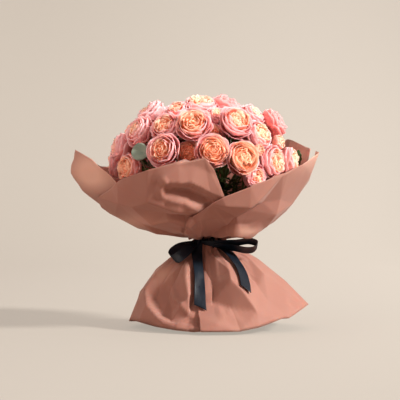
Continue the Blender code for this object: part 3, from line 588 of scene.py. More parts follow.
# Floor: share of its colour that the lights show, how dark its grain is against that, how brightly it
# glows against its colour, how much of that is left at the far left as a painted shade, and where that
# fades, in metres
FLOOR_LIT_SHARE = 0.5
FLOOR_GRAIN = 0.985
BACKDROP_LIFT = 1.9
PAINTED_SHADE_LEFT_SHARE = 0.64
PAINTED_SHADE_FADES_OVER = (-1.4, 1.0)
# Colour that the floor throws back on the bunch, where the camera doesn't see it
FLOOR_BOUNCE = (0.44, 0.37, 0.33)


def floor_look(settings):
    """Plain pale matte floor and backdrop with a hardly visible grain.

    It is seen pale, with a painted shade that darkens it towards the left, and throws less light back on the
    bunch than it would, as in a large room.
    """
    look, make, shader = new_look("floor")
    lit = tuple(channel * FLOOR_LIT_SHARE for channel in settings.floor_colour)
    pale = tuple(channel * FLOOR_GRAIN for channel in lit)
    cloud = group(make, "Mottle", Scale=1.5, Contrast=1.0, First=pale, Second=lit)
    to_right = make.add("SeparateXYZ", {"Vector": make.position()}).outputs["X"]
    bright = tuple(channel * BACKDROP_LIFT for channel in settings.floor_colour)
    painted_shade_left = tuple(channel * PAINTED_SHADE_LEFT_SHARE for channel in bright)
    # Painted shade: the backdrop's own brightness falls off towards the left
    make.feed(shader, {
        "Base Color": cloud["Color"], "Roughness": 0.9,
        "Emission Color": make.mix(make.stretch(to_right, *PAINTED_SHADE_FADES_OVER), painted_shade_left, bright),
        "Emission Strength": settings.floor_lift,
    })
    dim = make.add("BsdfDiffuse", {"Color": FLOOR_BOUNCE})
    seen = make.add("LightPath").outputs["Is Camera Ray"]
    both = make.add("MixShader", {0: seen, 1: dim.outputs["BSDF"], 2: shader.outputs["BSDF"]})
    make.feed(look.node_tree.nodes["Material Output"], {"Surface": both.outputs["Shader"]})
    return look


# Blooms


class Head:
    """One rose or bud: its centre, radius, the way it faces and its own warmth of colour, if any."""

    def __init__(self, name, centre, radius, warmth=None, is_bud=False):
        self.name = name
        self.centre = Vector(centre)
        self.radius = radius
        self.warmth = warmth
        self.is_bud = is_bud

    def facing(self):
        return (self.centre - FACING_CENTRE).normalized()

    def base(self):
        height = BUD_BASE_HEIGHT if self.is_bud else HEAD_BASE_HEIGHT
        return self.centre + self.facing() * height * self.radius

    def azimuth(self):
        reach = self.centre - Vector((DOME_X, 0, 0))
        return math.degrees(math.atan2(reach.x, -reach.y))

    def elevation(self):
        reach = self.centre - Vector((DOME_X, 0, ELEVATION_BASE_Z))
        return math.degrees(math.atan2(reach.z, math.hypot(reach.x, reach.y)))

    def turn(self, roll):
        """Matrix, as an array, that turns a bloom made along +Z to the way this head faces."""
        to_face = np.array(self.facing().to_track_quat("Z", "Y").to_matrix())
        return to_face @ roll_matrix(roll)


def place_heads():
    """All heads of the dome, pushed apart where they touch, by the rule of the part's source."""
    heads = [
        Head("rose_" + name, centre, radius, warmth, rows is BUD_HEADS)
        for rows in (FRONT_HEADS, BUD_HEADS) for name, *centre, radius, warmth in rows
    ]
    for row, (height, reach, first, last, count) in enumerate(BACK_ROWS, 1):
        for number in range(count):
            turn = math.radians(first + (last - first) * number / (count - 1))
            centre = Vector((math.sin(turn), -math.cos(turn), 0.0)) * reach + Vector((DOME_X, 0, height))
            heads.append(Head(f"rose_back_{row}_{number + 1}", centre, BACK_HEAD_RADIUS))
    for _ in range(SPREAD_ROUNDS):
        for one, other in combinations(heads, 2):
            apart = other.centre - one.centre
            short = one.radius + other.radius + SPREAD_GAP - apart.length
            if short > 0:
                push = apart.normalized() * short / 2
                one.centre -= push
                other.centre += push
    return heads


# Petal rings of a bloom, outermost first: number, half width, how far out it counts for its colour,
# the (reach, height) points of a petal's mid line, and how ruffled it is. Lengths are shares of the
# bloom's radius.
BLOOM_RINGS = (
    (5, 0.82, 1.00, ((0.05, -0.80), (0.72, -0.90), (1.04, -0.40), (1.20, -0.08)), 0.3),
    (5, 0.88, 0.90, ((0.05, -0.74), (0.82, -0.74), (0.97, -0.10), (1.03, 0.20)), 0.2),
    (5, 0.78, 0.72, ((0.05, -0.66), (0.74, -0.58), (0.87, 0.06), (0.82, 0.36)), 0.1),
    (6, 0.50, 0.48, ((0.05, -0.54), (0.58, -0.40), (0.70, 0.12), (0.65, 0.42)), 0.5),
    (7, 0.33, 0.28, ((0.05, -0.30), (0.40, -0.20), (0.52, 0.14), (0.51, 0.46)), 1.0),
    (6, 0.28, 0.15, ((0.04, -0.30), (0.28, -0.20), (0.35, 0.12), (0.35, 0.47)), 1.0),
    (5, 0.22, 0.07, ((0.03, -0.30), (0.15, -0.20), (0.21, 0.12), (0.21, 0.45)), 1.0),
    (4, 0.13, 0.00, ((0.02, -0.30), (0.05, -0.20), (0.09, 0.12), (0.08, 0.41)), 0.8),
)
BUD_RINGS = (
    (5, 0.78, 0.80, ((0.05, -0.72), (0.86, -0.66), (1.10, 0.10), (0.80, 0.74)), 0.0),
    (4, 0.72, 0.60, ((0.05, -0.66), (0.78, -0.50), (0.94, 0.30), (0.46, 0.90)), 0.0),
    (4, 0.50, 0.40, ((0.05, -0.56), (0.58, -0.30), (0.70, 0.40), (0.20, 0.92)), 0.2),
)
# Grid rows and columns of a petal, on the front heads and on the heads behind: outer, inner and heart rings
PETAL_GRIDS = (((9, 13), (7, 10), (6, 9)), ((7, 9), (5, 7), (5, 7)))
OUTER_RINGS = 3
INNER_RINGS = 4
# How much nearer to the apricot heart a petal's inner face counts for its colour than its outer face
INNER_FACE_SHIFT = 0.22
# Core of a bloom: grid rows and columns, its width, foot and top, and its tint before the warmth
CORE_GRID = (9, 24)
CORE_FORM = (0.76, -0.72, 0.30)
# The core's tint gives it the deep colour of the heart, a painted shade
CORE_TINT = (0.25, 0.35, 0.5)
# How far each ring is turned on, in radians, and the most that chance adds, how much less it cups than
# the one outside it, and the most that chance closes a bloom that isn't listed below
RING_TURN = 0.62
TURN_CHANCE = 0.4
CUPPING_LOST = 0.22
CLOSED_CHANCE = 0.25
BLOOM_SEED = 100
# Blooms that are only half open, as a share of the way back to a cup
HALF_OPEN = {
    "rose_far_right_high": 0.8, "rose_crown_right": 0.6, "rose_shoulder_far_left": 0.5,
    "rose_crown_left": 0.4, "rose_between_lower": 0.5, "rose_rim_front_right": 0.9,
    "rose_lower_right": 0.15,
}
# Form of a petal, as shares of the bloom's radius or of its own length or width. CHANCE marks what
# is scaled by chance.
PETAL_LENGTH = 0.93
LENGTH_CHANCE = 0.12
TIP_ROUNDING = 0.22
TIP_ROUNDING_POWER = 3.4
TIP_DIP = 0.03
TIP_DIP_WIDTH = 0.22
LINE_CHANCE = 0.035
CUPPED_TIP = (-0.16, 0.22)
CUPPED_SHOULDER = (-0.06, 0.10)
PETAL_WIDTH = 0.92
WIDTH_CHANCE = 0.16
FOOT_WIDTH = 0.22
WIDEST_AT = 0.75
LEAST_REACH = 0.42
SETTING_CHANCE = 0.35
SIDE_LAP = 0.055
RIM_WAVE = 0.030
RUFFLED_WAVE = 0.02
RIM_ROLL = 0.05
FOLDED_IN = 0.09
FOLD_CHANCE = 0.22
TIP_WAVE = 0.035
SIDES_DOWN = 0.07


def cup_petals(number, grid, half_width, mid_line, ruffle, closed, chance):
    """Petals of one ring, as grids (petal, row, column, xyz) in shares of the bloom's radius.

    The mid line is a cubic curve of reach and height from foot to tip. A point at (across t, along s)
    turns round the axis by t times the half width, which grows from the foot. The tip is rounded by
    shortening s towards the sides, with a slight dip in the middle. The rim rolls out and is waved,
    and one side stands further out than the other, so that neighbours lap. A ruffled petal is also
    folded, its sides in or out by the square of t, twisted round the axis and set less evenly.
    """
    rows, columns = grid
    across = np.linspace(-1, 1, columns)[None, None, :]
    along = np.linspace(0, 1, rows)[None, :, None]
    own = chance.random((8, number, 1, 1))
    length = PETAL_LENGTH + LENGTH_CHANCE * own[0]
    rounding = TIP_ROUNDING * np.abs(across) ** TIP_ROUNDING_POWER
    up = along * length * (1 - rounding - TIP_DIP * bell(across, 0, TIP_DIP_WIDTH))
    uneven = LINE_CHANCE + LINE_CHANCE * ruffle
    curve = np.array(mid_line)[None] + chance.uniform(-1, 1, (number, 4, 2)) * uneven
    curve[:, 3] += closed * np.array(CUPPED_TIP)
    curve[:, 2] += closed * np.array(CUPPED_SHOULDER)
    reach, height = (cubic(*(curve[:, None, None, knot, axis] for knot in range(4)), up) for axis in (0, 1))
    widest = max(point[0] for point in mid_line)
    half = half_width * (PETAL_WIDTH + WIDTH_CHANCE * own[1])
    half = half * (FOOT_WIDTH + (1 - FOOT_WIDTH) * ease(up, 0.0, WIDEST_AT))
    start = np.arange(number)[:, None, None] * math.tau / number
    start = start + (SETTING_CHANCE + SETTING_CHANCE * ruffle) * (own[2] - 0.5)
    angle = start + across * half / np.maximum(reach, LEAST_REACH * widest) + ruffle * (own[6] - 0.5) * up
    wave = np.sin(across * (3.6 + 3 * own[3]) + own[4] * math.tau)
    rim = up ** 3
    reach = reach + SIDE_LAP * across * up + (RIM_WAVE + RUFFLED_WAVE * ruffle) * wave * rim
    reach = reach + RIM_ROLL * np.abs(across) ** 3 * rim
    reach = reach + ruffle * (FOLD_CHANCE * own[7] - FOLDED_IN) * across ** 2 * up
    height = height + TIP_WAVE * np.cos(across * 4.5 + own[5] * math.tau) * rim
    height = height - SIDES_DOWN * across ** 2 * up
    return np.stack([reach * np.cos(angle), reach * np.sin(angle), height], axis=-1)


def add_core(surface, head, turn, warmth):
    """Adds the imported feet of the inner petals: a closed drop, one profile turned about the bloom's axis."""
    rows, sides = CORE_GRID
    height = np.linspace(-1, 1, rows)[:, None]
    angle = np.linspace(0, math.tau, sides, endpoint=False)[None, :]
    wide, low, high = CORE_FORM
    radius = wide * np.sqrt(np.maximum(1 - height ** 2, 0.0004)) * (1 + 0.06 * np.sin(angle * 5))
    height = (low + high) / 2 + (high - low) / 2 * height + 0 * angle
    drop = np.stack([radius * np.cos(angle), radius * np.sin(angle), height], axis=-1).reshape(-1, 3)
    drop = np.concatenate([drop, [[0, 0, low], [0, 0, high]]])
    placed = np.array(head.centre) + drop @ turn.T * head.radius
    surface.add(placed, *bar_faces(rows, sides), (*CORE_TINT, warmth))


def bloom(head, number, thickness, openness, look):
    """One rose: rings of cupped petals round a packed heart, or the wrapped petals of a bud."""
    chance = np.random.default_rng(BLOOM_SEED + number)
    warmth = USUAL_WARMTH + WARMTH_CHANCE * (chance.random() - 0.5)
    if head.warmth is not None:
        warmth = head.warmth
    turn = head.turn(math.tau * chance.random())
    centre = np.array(head.centre)
    surface = Surface()
    rings = BUD_RINGS if head.is_bud else BLOOM_RINGS
    closed = 0.0
    if not head.is_bud:
        closed = 1 - openness + HALF_OPEN.get(head.name, CLOSED_CHANCE * chance.random())
    add_core(surface, head, turn, warmth)
    grids = PETAL_GRIDS["_back_" in head.name]
    for ring, (count, half_width, outness, mid_line, ruffle) in enumerate(rings):
        rows, columns = grids[(ring >= OUTER_RINGS) + (ring >= INNER_RINGS)]
        spin = RING_TURN * ring + TURN_CHANCE * chance.random()
        cupped = closed * max(1 - CUPPING_LOST * ring, 0)
        petals = cup_petals(count, (rows, columns), half_width, mid_line, ruffle, cupped, chance)
        placed = centre + (petals @ roll_matrix(-spin)) @ turn.T * head.radius
        tint, place = sheet_values(count, rows, columns, outness, chance.random((count, 1, 1)), warmth)
        inner_tint = tint - np.array([INNER_FACE_SHIFT, 0, 0, 0])
        surface.add_sheets(placed, thickness, tint, place, inner_tint=inner_tint)
    return surface.make(head.name + "_petals", look)


# Stems and leaves

WAIST_Z = 187.0
STRAIGHT_TOP_Z = 222.0
OUTER_SLOPE = 0.31
MIDDLE_SLOPE = 0.20
STEM_RADIUS = 4.0
SPRIG_RADIUS = 2.0
PEDICEL_RADIUS = 1.7
RACHIS_RADIUS = 1.1
MIDDLE_RING_RADIUS = 2 * STEM_RADIUS + CLEARANCE
OUTER_RING_RADIUS = MIDDLE_RING_RADIUS + 2 * STEM_RADIUS + CLEARANCE
OUTER_SPRAYS = 6
MIDDLE_SPRAYS = 4
OUTER_LAG = 55.0
MIDDLE_LAG = 55.0
OUTER_BELOW_ELEVATION = 33.0
MIDDLE_BELOW_ELEVATION = 62.0
ELEVATION_BASE_Z = 300.0
BRANCH_SHARE = 0.48
BELOW_FOOT = 6.0
PEDICEL_BEND_BELOW = 0.35
PEDICEL_BEND_AT = 0.8
HIP_LENGTH = 7.0
SUNK = 2.0
BEND_STEPS = 8
STRAIGHT_STEPS = 13
SWELLING = 0.12
SWELLING_TURNS = 9.0
SPRAY_SEED = 500
SPRIG_SEED = 900
LEAF_THICKNESS = 0.7
LEAFLET_LENGTH = 40.0
LEAFLET_HALF_WIDTH = 13.0
LEAF_REACH = 52.0
LEAF_RISE = 0.10
STALK_SAG = 3.0
LEAF_FACING_OUT = 0.3
SIDE_LEAFLET_AT = 0.72
SIDE_LEAFLET_TURN = 60.0
SIDE_LEAFLET_LENGTH = 0.8
SIDE_LEAFLET_WIDTH = 0.85
UPRIGHT_LEAF_BY = "rose_rim_far_right"
UPRIGHT_STALK = ((96, 14, 268), (158, 26, 318))
UPRIGHT_ROOT = (193, 30, 352)
UPRIGHT_TIP = (201, 30, 391)
UPRIGHT_FACING = (-0.2, -1, 0.1)
SPRIG_AZIMUTH = -50.0
SPRIG_POINTS = ((-92, -84, 285), (-128, -108, 335))
SPRIG_LEAF_CENTRE = (-145, -124, 380)
SPRIG_LEAF_FACING = (-0.25, -0.95, 0.15)
ROUND_LEAF_RADIUS = 18.5
ROUND_LEAF_RIB = (-0.85, 0.0, 0.4)
SIDE_PAIR_AT = 0.45
SIDE_PAIR_AZIMUTHS = (60, 240)
SIDE_PAIR_SIZE = 0.8
EDGE_LEAF_OFFSET = (17.0, 10, -16)
EDGE_LEAF_FACING = (0.94, -0.34, 0.0)
EDGE_LEAF_RADIUS = 14.0
EDGE_LEAF_REACH = 15.0
EDGE_LEAF_LEAN = 3.0
TWINE_RADIUS = 1.8
TWINE_TURNS = 3
TWINE_PITCH = 3.0
TWINE_SEGMENTS = 12
TWINE_INNER_RADIUS = (OUTER_RING_RADIUS + STEM_RADIUS + CLEARANCE) / math.cos(math.pi / TWINE_SEGMENTS)
STEM_KIND, SEPAL_KIND, LEAF_KIND = 0.0, 0.5, 1.0


def smooth_path(points, steps):
    """Catmull-Rom points through the given rows, with a number of steps between each two."""
    points = np.asarray(points, dtype=float)
    ends = np.concatenate([2 * points[:1] - points[1:2], points, 2 * points[-1:] - points[-2:-1]])
    t = (np.arange(steps) / steps)[None, :, None]
    before, start, end, after = (ends[shift:len(ends) - 3 + shift, None] for shift in range(4))
    path = 0.5 * (
        2 * start + (end - before) * t + (2 * before - 5 * start + 4 * end - after) * t ** 2
        + (3 * start - before - 3 * end + after) * t ** 3
    )
    return np.concatenate([path.reshape(-1, points.shape[1]), points[-1:]])


def spiral_line(ring_radius, waist_azimuth, height):
    """Point at a height on a straight stem that leans round the bundle's axis."""
    slope = OUTER_SLOPE if ring_radius > MIDDLE_RING_RADIUS else MIDDLE_SLOPE if ring_radius > 0 else 0.0
    point = level_direction(waist_azimuth) * ring_radius
    point = point + level_direction(waist_azimuth + 90) * slope * (height - WAIST_Z)
    return point + UP * height


def stem_route(ring_radius, waist_azimuth, end_points):
    """Points of a stem: straight from below the table level to above the waist, then bent."""
    foot = spiral_line(ring_radius, waist_azimuth, -BELOW_FOOT if ring_radius > 0 else 0.0)
    top = spiral_line(ring_radius, waist_azimuth, STRAIGHT_TOP_Z)
    below = spiral_line(ring_radius, waist_azimuth, WAIST_Z)
    bent = smooth_path([below, top, *end_points], BEND_STEPS)[BEND_STEPS:]
    straight = foot + (top - foot) * np.linspace(0, 1, STRAIGHT_STEPS + 1)[:, None]
    return np.concatenate([straight[:-1], bent])


def group_heads(heads):
    """Heads of each spray: outer runs and middle runs by azimuth, and the crown."""
    outer = [head for head in heads if head.elevation() < OUTER_BELOW_ELEVATION]
    middle = [head for head in heads if OUTER_BELOW_ELEVATION <= head.elevation() < MIDDLE_BELOW_ELEVATION]
    crown = [head for head in heads if head.elevation() >= MIDDLE_BELOW_ELEVATION]
    groups = []
    for ring, members, count in ((OUTER_RING_RADIUS, outer, OUTER_SPRAYS),
                                 (MIDDLE_RING_RADIUS, middle, MIDDLE_SPRAYS)):
        members.sort(key=Head.azimuth)
        for number in range(count):
            start = round(number * len(members) / count)
            end = round((number + 1) * len(members) / count)
            groups.append((ring, members[start:end]))
    groups.append((0.0, crown))
    return groups


def level_stem(surface, route, radius, tint):
    """Stem as a bar with five slight swellings along it, cut level where it meets the table."""
    share = np.linspace(0, 1, len(route))
    swelling = 1 + SWELLING * np.maximum(np.sin(share * SWELLING_TURNS * math.pi), 0) ** 6
    surface.add_tube(route, radius * swelling, 12, tint)
    points = surface.points[-1]
    points[:, 2] = np.maximum(points[:, 2], 0.0)


def blade_grids(roots, tips, facings, half_widths, outline, fold=0.16, arch=0.10, rows=13, columns=5):
    """Leaf blades as grids (leaf, row, column, xyz).

    A point at (across t, along s) lies at root + s times the length along the midrib + t times the
    outline's half width at s to the side. The halves rise from the midrib by the fold, the blade
    arches down towards its tip, and its edge is slightly waved.
    """
    roots, tips, facings = (np.asarray(given, dtype=float).reshape(-1, 3) for given in (roots, tips, facings))
    along = tips - roots
    length = np.linalg.norm(along, axis=-1)[:, None, None, None]
    side = unit(np.cross(along, facings))
    up = unit(np.cross(side, along))
    s = (0.5 - 0.5 * np.cos(np.linspace(0, math.pi, rows)))[None, :, None, None]
    t = np.linspace(-1, 1, columns)[None, None, :, None]
    width = outline(s) * np.reshape(half_widths, (-1, 1, 1, 1))
    own = np.arange(len(roots))[:, None, None, None] * 1.7
    rise = fold * width * np.abs(t) + arch * length * (s - s ** 2) * 0.8 - arch * length * s ** 2 * 0.5
    rise = rise + 0.05 * width * np.sin(9 * s + own + 2 * t) * np.abs(t)
    grids = roots[:, None, None] + along[:, None, None] * s + side[:, None, None] * t * width
    return grids + up[:, None, None] * rise


# How far a leaflet's teeth stand out of its edge and the notches lie in it, as a share of its half width.
# It leaves a notch 0.8 as wide as a tooth, as in the part's source.
LEAF_TEETH = 0.11


def rose_outline(s):
    """Half width of a rose leaflet along its midrib: an egg shape with a tooth at every second row."""
    teeth = 1 + LEAF_TEETH * np.cos(math.pi * np.arange(s.shape[1]))[None, :, None, None]
    return np.sin(math.pi * np.clip(s, 0.004, 0.998) ** 0.85) ** 0.7 * teeth


def round_outline(s):
    """Half width of a round blade: a circle's chord."""
    return np.sqrt(np.maximum(1 - (2 * s - 1) ** 2, 0.0004))


def sepal_outline(s):
    """Half width of a sepal: widest at its foot, drawn out to a point."""
    return (1 - s) ** 0.8 * (0.75 + 0.5 * s) + 0.03


def add_blades(surface, grids, thickness, kind, chance, youngest=0.0):
    """Adds leaf blades of a kind, each with a value of its own that is at least the youngest."""
    number, rows, columns = grids.shape[:3]
    own = np.maximum(chance.random((number, 1, 1)), youngest)
    tint, place = sheet_values(number, rows, columns, kind, own, 1.0)
    surface.add_sheets(grids, thickness, tint, place, 0.4)


def compound_leaf(surface, root, outward, turn, size, chance):
    """Leaf stalk with one end leaflet and two side leaflets, turned from the outward direction."""
    outward = np.array([
        outward[0] * math.cos(turn) - outward[1] * math.sin(turn),
        outward[0] * math.sin(turn) + outward[1] * math.cos(turn), 0.0,
    ])
    rise = LEAF_RISE if turn == 0 else LEAF_RISE + 0.5 * chance.random()
    tilt = unit(outward + UP * rise)
    reach = LEAF_REACH * size
    fork = root + tilt * reach
    sagging = (root + fork) / 2 - UP * STALK_SAG
    path = smooth_path([root, sagging, fork + tilt * 2 * SUNK], 5)
    surface.add_tube(path, RACHIS_RADIUS, 6, (STEM_KIND, 0.9, 0.5, 1))
    side = np.cross(outward, UP)
    facing = unit(UP + outward * LEAF_FACING_OUT)
    base = root + tilt * reach * SIDE_LEAFLET_AT
    angle = math.radians(SIDE_LEAFLET_TURN)
    ways = [tilt * math.cos(angle) + side * sign * math.sin(angle) for sign in (-1, 1)]
    roots = [fork, base, base]
    tips = [fork + tilt * LEAFLET_LENGTH * size]
    tips += [base + way * LEAFLET_LENGTH * SIDE_LEAFLET_LENGTH * size for way in ways]
    widths = np.array([1.0, SIDE_LEAFLET_WIDTH, SIDE_LEAFLET_WIDTH]) * LEAFLET_HALF_WIDTH * size
    grids = blade_grids(roots, tips, [facing] * 3, widths, rose_outline)
    add_blades(surface, grids, LEAF_THICKNESS, LEAF_KIND, chance)


# Hip under a bloom as (height, radius) from its foot up, and what a bud's is against it
HIP_PROFILE = ((-7.5, 2.0), (-5.5, 3.4), (-3.5, 5.3), (-1.5, 5.4), (0.6, 4.4), (2.2, 3.0))
BUD_HIP_SHARE = 0.75
# Sepals of a bloom and of a bud: length as a share of the head's radius, and how much of it they rise
SEPAL_FORMS = ((0.62, 0.32), (1.1, 0.75))
SEPAL_SPREAD = 0.86
SEPAL_THICKNESS = 0.6


def hips_and_sepals(surface, heads, chance):
    """Green cup under each head, turned round its axis, with five sepals spread below the petals."""
    for head in heads:
        facing = np.array(head.facing())
        base = np.array(head.base())
        small = BUD_HIP_SHARE if head.is_bud else 1.0
        sepal_share, sepal_rise = SEPAL_FORMS[head.is_bud]
        heights, radii = np.array(HIP_PROFILE).T
        path = base + facing * (heights - CLEARANCE)[:, None]
        surface.add_tube(path, radii * small, 10, (STEM_KIND, 1.0, 0.5, 1))
        turn = head.turn(math.tau * chance.random())
        angle = math.tau * np.arange(5) / 5 + chance.uniform(-0.2, 0.2, 5)
        out = np.stack([np.cos(angle), np.sin(angle), 0 * angle], axis=-1) @ turn.T
        length = head.radius * sepal_share * chance.uniform(0.85, 1.15, (5, 1))
        roots = base + out * 3.4 * small - facing * 0.8
        tips = roots + out * length * SEPAL_SPREAD + facing * length * sepal_rise
        grids = blade_grids(roots, tips, out * 0.4 - facing, np.full(5, 3.0 * small), sepal_outline,
                            fold=0.1, arch=-0.12, rows=7, columns=3)
        add_blades(surface, grids, SEPAL_THICKNESS, SEPAL_KIND, chance)


# Leaves up the bend of each stem but the crown's, and of the crown's own: how far up, the turn from
# outward and the size
MORE_LEAVES = (
    (0.55, 0.9, 0.85), (0.62, -0.95, 0.85), (0.80, 0.45, 0.75), (0.90, -0.4, 0.75), (0.70, 0.1, 0.65),
    (0.46, -0.3, 0.6),
)
CROWN_LEAVES = ((0.80, 0.6, 0.6), (0.88, 3.6, 0.6), (0.94, 2.2, 0.55))
# Leaves up each flower stalk: how far up, and the size
STALK_LEAVES = ((0.45, 0.62), (0.72, 0.5))


def spray(number, ring_radius, waist_azimuth, heads, look):
    """One stem with its pedicels, hips, sepals and leaves, along the lines of the part's source."""
    chance = np.random.default_rng(SPRAY_SEED + number)
    feet = [np.array(head.base() - head.facing() * (CLEARANCE + HIP_LENGTH)) for head in heads]
    middle = np.mean(feet, axis=0)
    top = spiral_line(ring_radius, waist_azimuth, STRAIGHT_TOP_Z)
    branching = top + (middle - top) * BRANCH_SHARE
    route = stem_route(ring_radius, waist_azimuth, [branching])
    surface = Surface()
    level_stem(surface, route, STEM_RADIUS, (STEM_KIND, 0.3, 0.5, 1))
    heading = unit(route[-1] - route[-2])
    start = branching - heading * SUNK
    for head, foot in zip(heads, feet):
        facing = np.array(head.facing())
        reach = np.linalg.norm(foot - start)
        bend = start + (foot - facing * reach * PEDICEL_BEND_BELOW - start) * PEDICEL_BEND_AT
        path = smooth_path([start, bend, foot + facing * SUNK], 7)
        surface.add_tube(path, np.linspace(PEDICEL_RADIUS + 0.4, PEDICEL_RADIUS, len(path)), 8,
                         (STEM_KIND, 0.8, 0.5, 1))
        level = unit(np.array([facing[0], facing[1], 0.0]) + 1e-6)
        for at, size in STALK_LEAVES:
            root = path[round(at * (len(path) - 1))]
            compound_leaf(surface, root, level, chance.uniform(-1.3, 1.3), size, chance)
    hips_and_sepals(surface, heads, chance)
    outward = unit(np.array([middle[0], middle[1], 0.0])) if ring_radius > 0 else np.array([0.0, -1, 0])
    bent = route[STRAIGHT_STEPS:]
    if ring_radius == OUTER_RING_RADIUS:
        coarse = smooth_path([spiral_line(ring_radius, waist_azimuth, WAIST_Z), top, branching], 3)
        compound_leaf(surface, (coarse[-3] + coarse[-2]) / 2, outward, 0.0, 1.0, chance)
    for share, turn, size in (MORE_LEAVES if ring_radius > 0 else CROWN_LEAVES):
        root = bent[round(share * (len(bent) - 1))]
        compound_leaf(surface, root, outward, turn, size, chance)
    if UPRIGHT_LEAF_BY in [head.name for head in heads]:
        root, tip = np.array(UPRIGHT_ROOT, float), np.array(UPRIGHT_TIP, float)
        stalk = smooth_path([bent[-6], *UPRIGHT_STALK, root + (tip - root) * 0.1], 6)
        surface.add_tube(stalk, RACHIS_RADIUS, 6, (STEM_KIND, 0.9, 0.5, 1))
        width = LEAFLET_HALF_WIDTH * SIDE_LEAFLET_WIDTH
        grids = blade_grids([root], [tip], [UPRIGHT_FACING], [width], rose_outline)
        add_blades(surface, grids, LEAF_THICKNESS, LEAF_KIND, chance, 1.0)
    return surface.make(f"spray_{number:02d}_green", look)


def eucalyptus(waist_azimuth, look):
    """Sprig with a round leaf at its end, one on edge beside that, and a pair lower on its stem."""
    chance = np.random.default_rng(SPRIG_SEED)
    points = np.array(SPRIG_POINTS, float)
    centre = np.array(SPRIG_LEAF_CENTRE, float)
    joint = centre - UP * ROUND_LEAF_RADIUS / 2
    ring_radius = OUTER_RING_RADIUS + STEM_RADIUS - SPRIG_RADIUS
    route = stem_route(ring_radius, waist_azimuth, [*points, joint])
    surface = Surface()
    level_stem(surface, route, SPRIG_RADIUS, (0, 0.5, 0.5, 1))
    facing = unit(SPRIG_LEAF_FACING)
    up = unit(np.array(ROUND_LEAF_RIB) - facing * np.dot(ROUND_LEAF_RIB, facing))
    roots = [centre - up * ROUND_LEAF_RADIUS]
    tips = [centre + up * ROUND_LEAF_RADIUS]
    facings = [facing]
    radii = [ROUND_LEAF_RADIUS * 1.02]
    base = points[0] + (points[1] - points[0]) * SIDE_PAIR_AT
    for azimuth in SIDE_PAIR_AZIMUTHS:
        way = level_direction(azimuth)
        roots.append(base)
        tips.append(base + way * 2 * ROUND_LEAF_RADIUS * SIDE_PAIR_SIZE)
        facings.append(UP)
        radii.append(ROUND_LEAF_RADIUS * SIDE_PAIR_SIZE)
    edge_on = centre + np.array(EDGE_LEAF_OFFSET)
    roots.append(edge_on - UP * EDGE_LEAF_REACH)
    tips.append(edge_on + np.array([EDGE_LEAF_LEAN, 0, EDGE_LEAF_REACH]))
    facings.append(np.array(EDGE_LEAF_FACING))
    radii.append(EDGE_LEAF_RADIUS)
    grids = blade_grids(roots, tips, facings, radii, round_outline, fold=0.28, arch=0.06, rows=17, columns=11)
    add_blades(surface, grids, LEAF_THICKNESS, LEAF_KIND, chance)
    stalk = smooth_path([route[-4], edge_on - UP * EDGE_LEAF_RADIUS], 4)
    surface.add_tube(stalk, 1.0, 6, (STEM_KIND, 0.5, 0.5, 1))
    return surface.make("eucalyptus_leaves", look)


def twine(look):
    """Binding twine: one cord in a low spiral of turns side by side."""
    turns = np.linspace(0, TWINE_TURNS, 40 * TWINE_TURNS)
    azimuth = 360 * turns + 150
    path = level_direction(azimuth) * (OUTER_RING_RADIUS + STEM_RADIUS + CLEARANCE + TWINE_RADIUS)
    path[:, 2] = WAIST_Z + (turns - TWINE_TURNS / 2) * TWINE_PITCH
    surface = Surface()
    surface.add_tube(path, TWINE_RADIUS * 0.92, 10)
    return surface.make("binding_twine_turns", look)


# Wrap. Each row: azimuth, then three (radius, height) points of the collar's curve above the neck
# and two (radius, height) points of the skirt's curve below it, as in the part's source.
NECK_RADIUS = TWINE_INNER_RADIUS + 2 * TWINE_RADIUS + CLEARANCE + 0.4
NECK_TOP_Z = 200.0
NECK_LOW_Z = 174.0
LAYER_STEP = 1.6
COLLAR_SPREAD = 0.028
SKIRT_SPREAD = 0.09
SKIRT_STEP_LIMIT = 5.0
WRAP_ROWS = np.array((
    (-180, 140, 205, 215, 270, 232, 372, 95, 130, 172, 0.8),
    (-140, 150, 205, 240, 262, 246, 352, 105, 140, 170, 6),
    (-112, 165, 203, 290, 262, 268, 356, 112, 145, 168, 12),
    (-90, 170, 203, 355, 285, 290, 388, 115, 148, 168, 10),
    (-72, 160, 203, 300, 272, 242, 352, 114, 146, 166, 13),
    (-50, 150, 206, 258, 255, 230, 340, 108, 142, 168, 6),
    (-30, 140, 210, 226, 248, 240, 345, 98, 122, 168, 1),
    (-15, 130, 213, 206, 250, 230, 360, 88, 112, 150, 4),
    (-3, 120, 213, 196, 252, 216, 370, 92, 110, 183, -8),
    (10, 115, 211, 188, 250, 208, 345, 96, 126, 179, -6),
    (25, 115, 208, 184, 248, 206, 330, 98, 136, 177, -4),
    (40, 118, 206, 178, 252, 204, 338, 100, 146, 184, 6),
    (60, 122, 204, 178, 262, 212, 358, 100, 154, 193, 24),
    (78, 130, 202, 186, 280, 228, 388, 100, 156, 210, 42),
    (96, 135, 202, 196, 288, 236, 392, 102, 154, 198, 30),
    (112, 138, 203, 212, 290, 236, 400, 102, 148, 184, 14),
    (126, 140, 204, 222, 296, 248, 438, 100, 130, 176, 4),
    (145, 140, 205, 218, 278, 236, 388, 96, 130, 172, 0.8),
    (180, 140, 205, 215, 270, 232, 372, 95, 130, 172, 0.8),
))
PROFILE_STEP = 0.96
NOT_TUCKED = 400
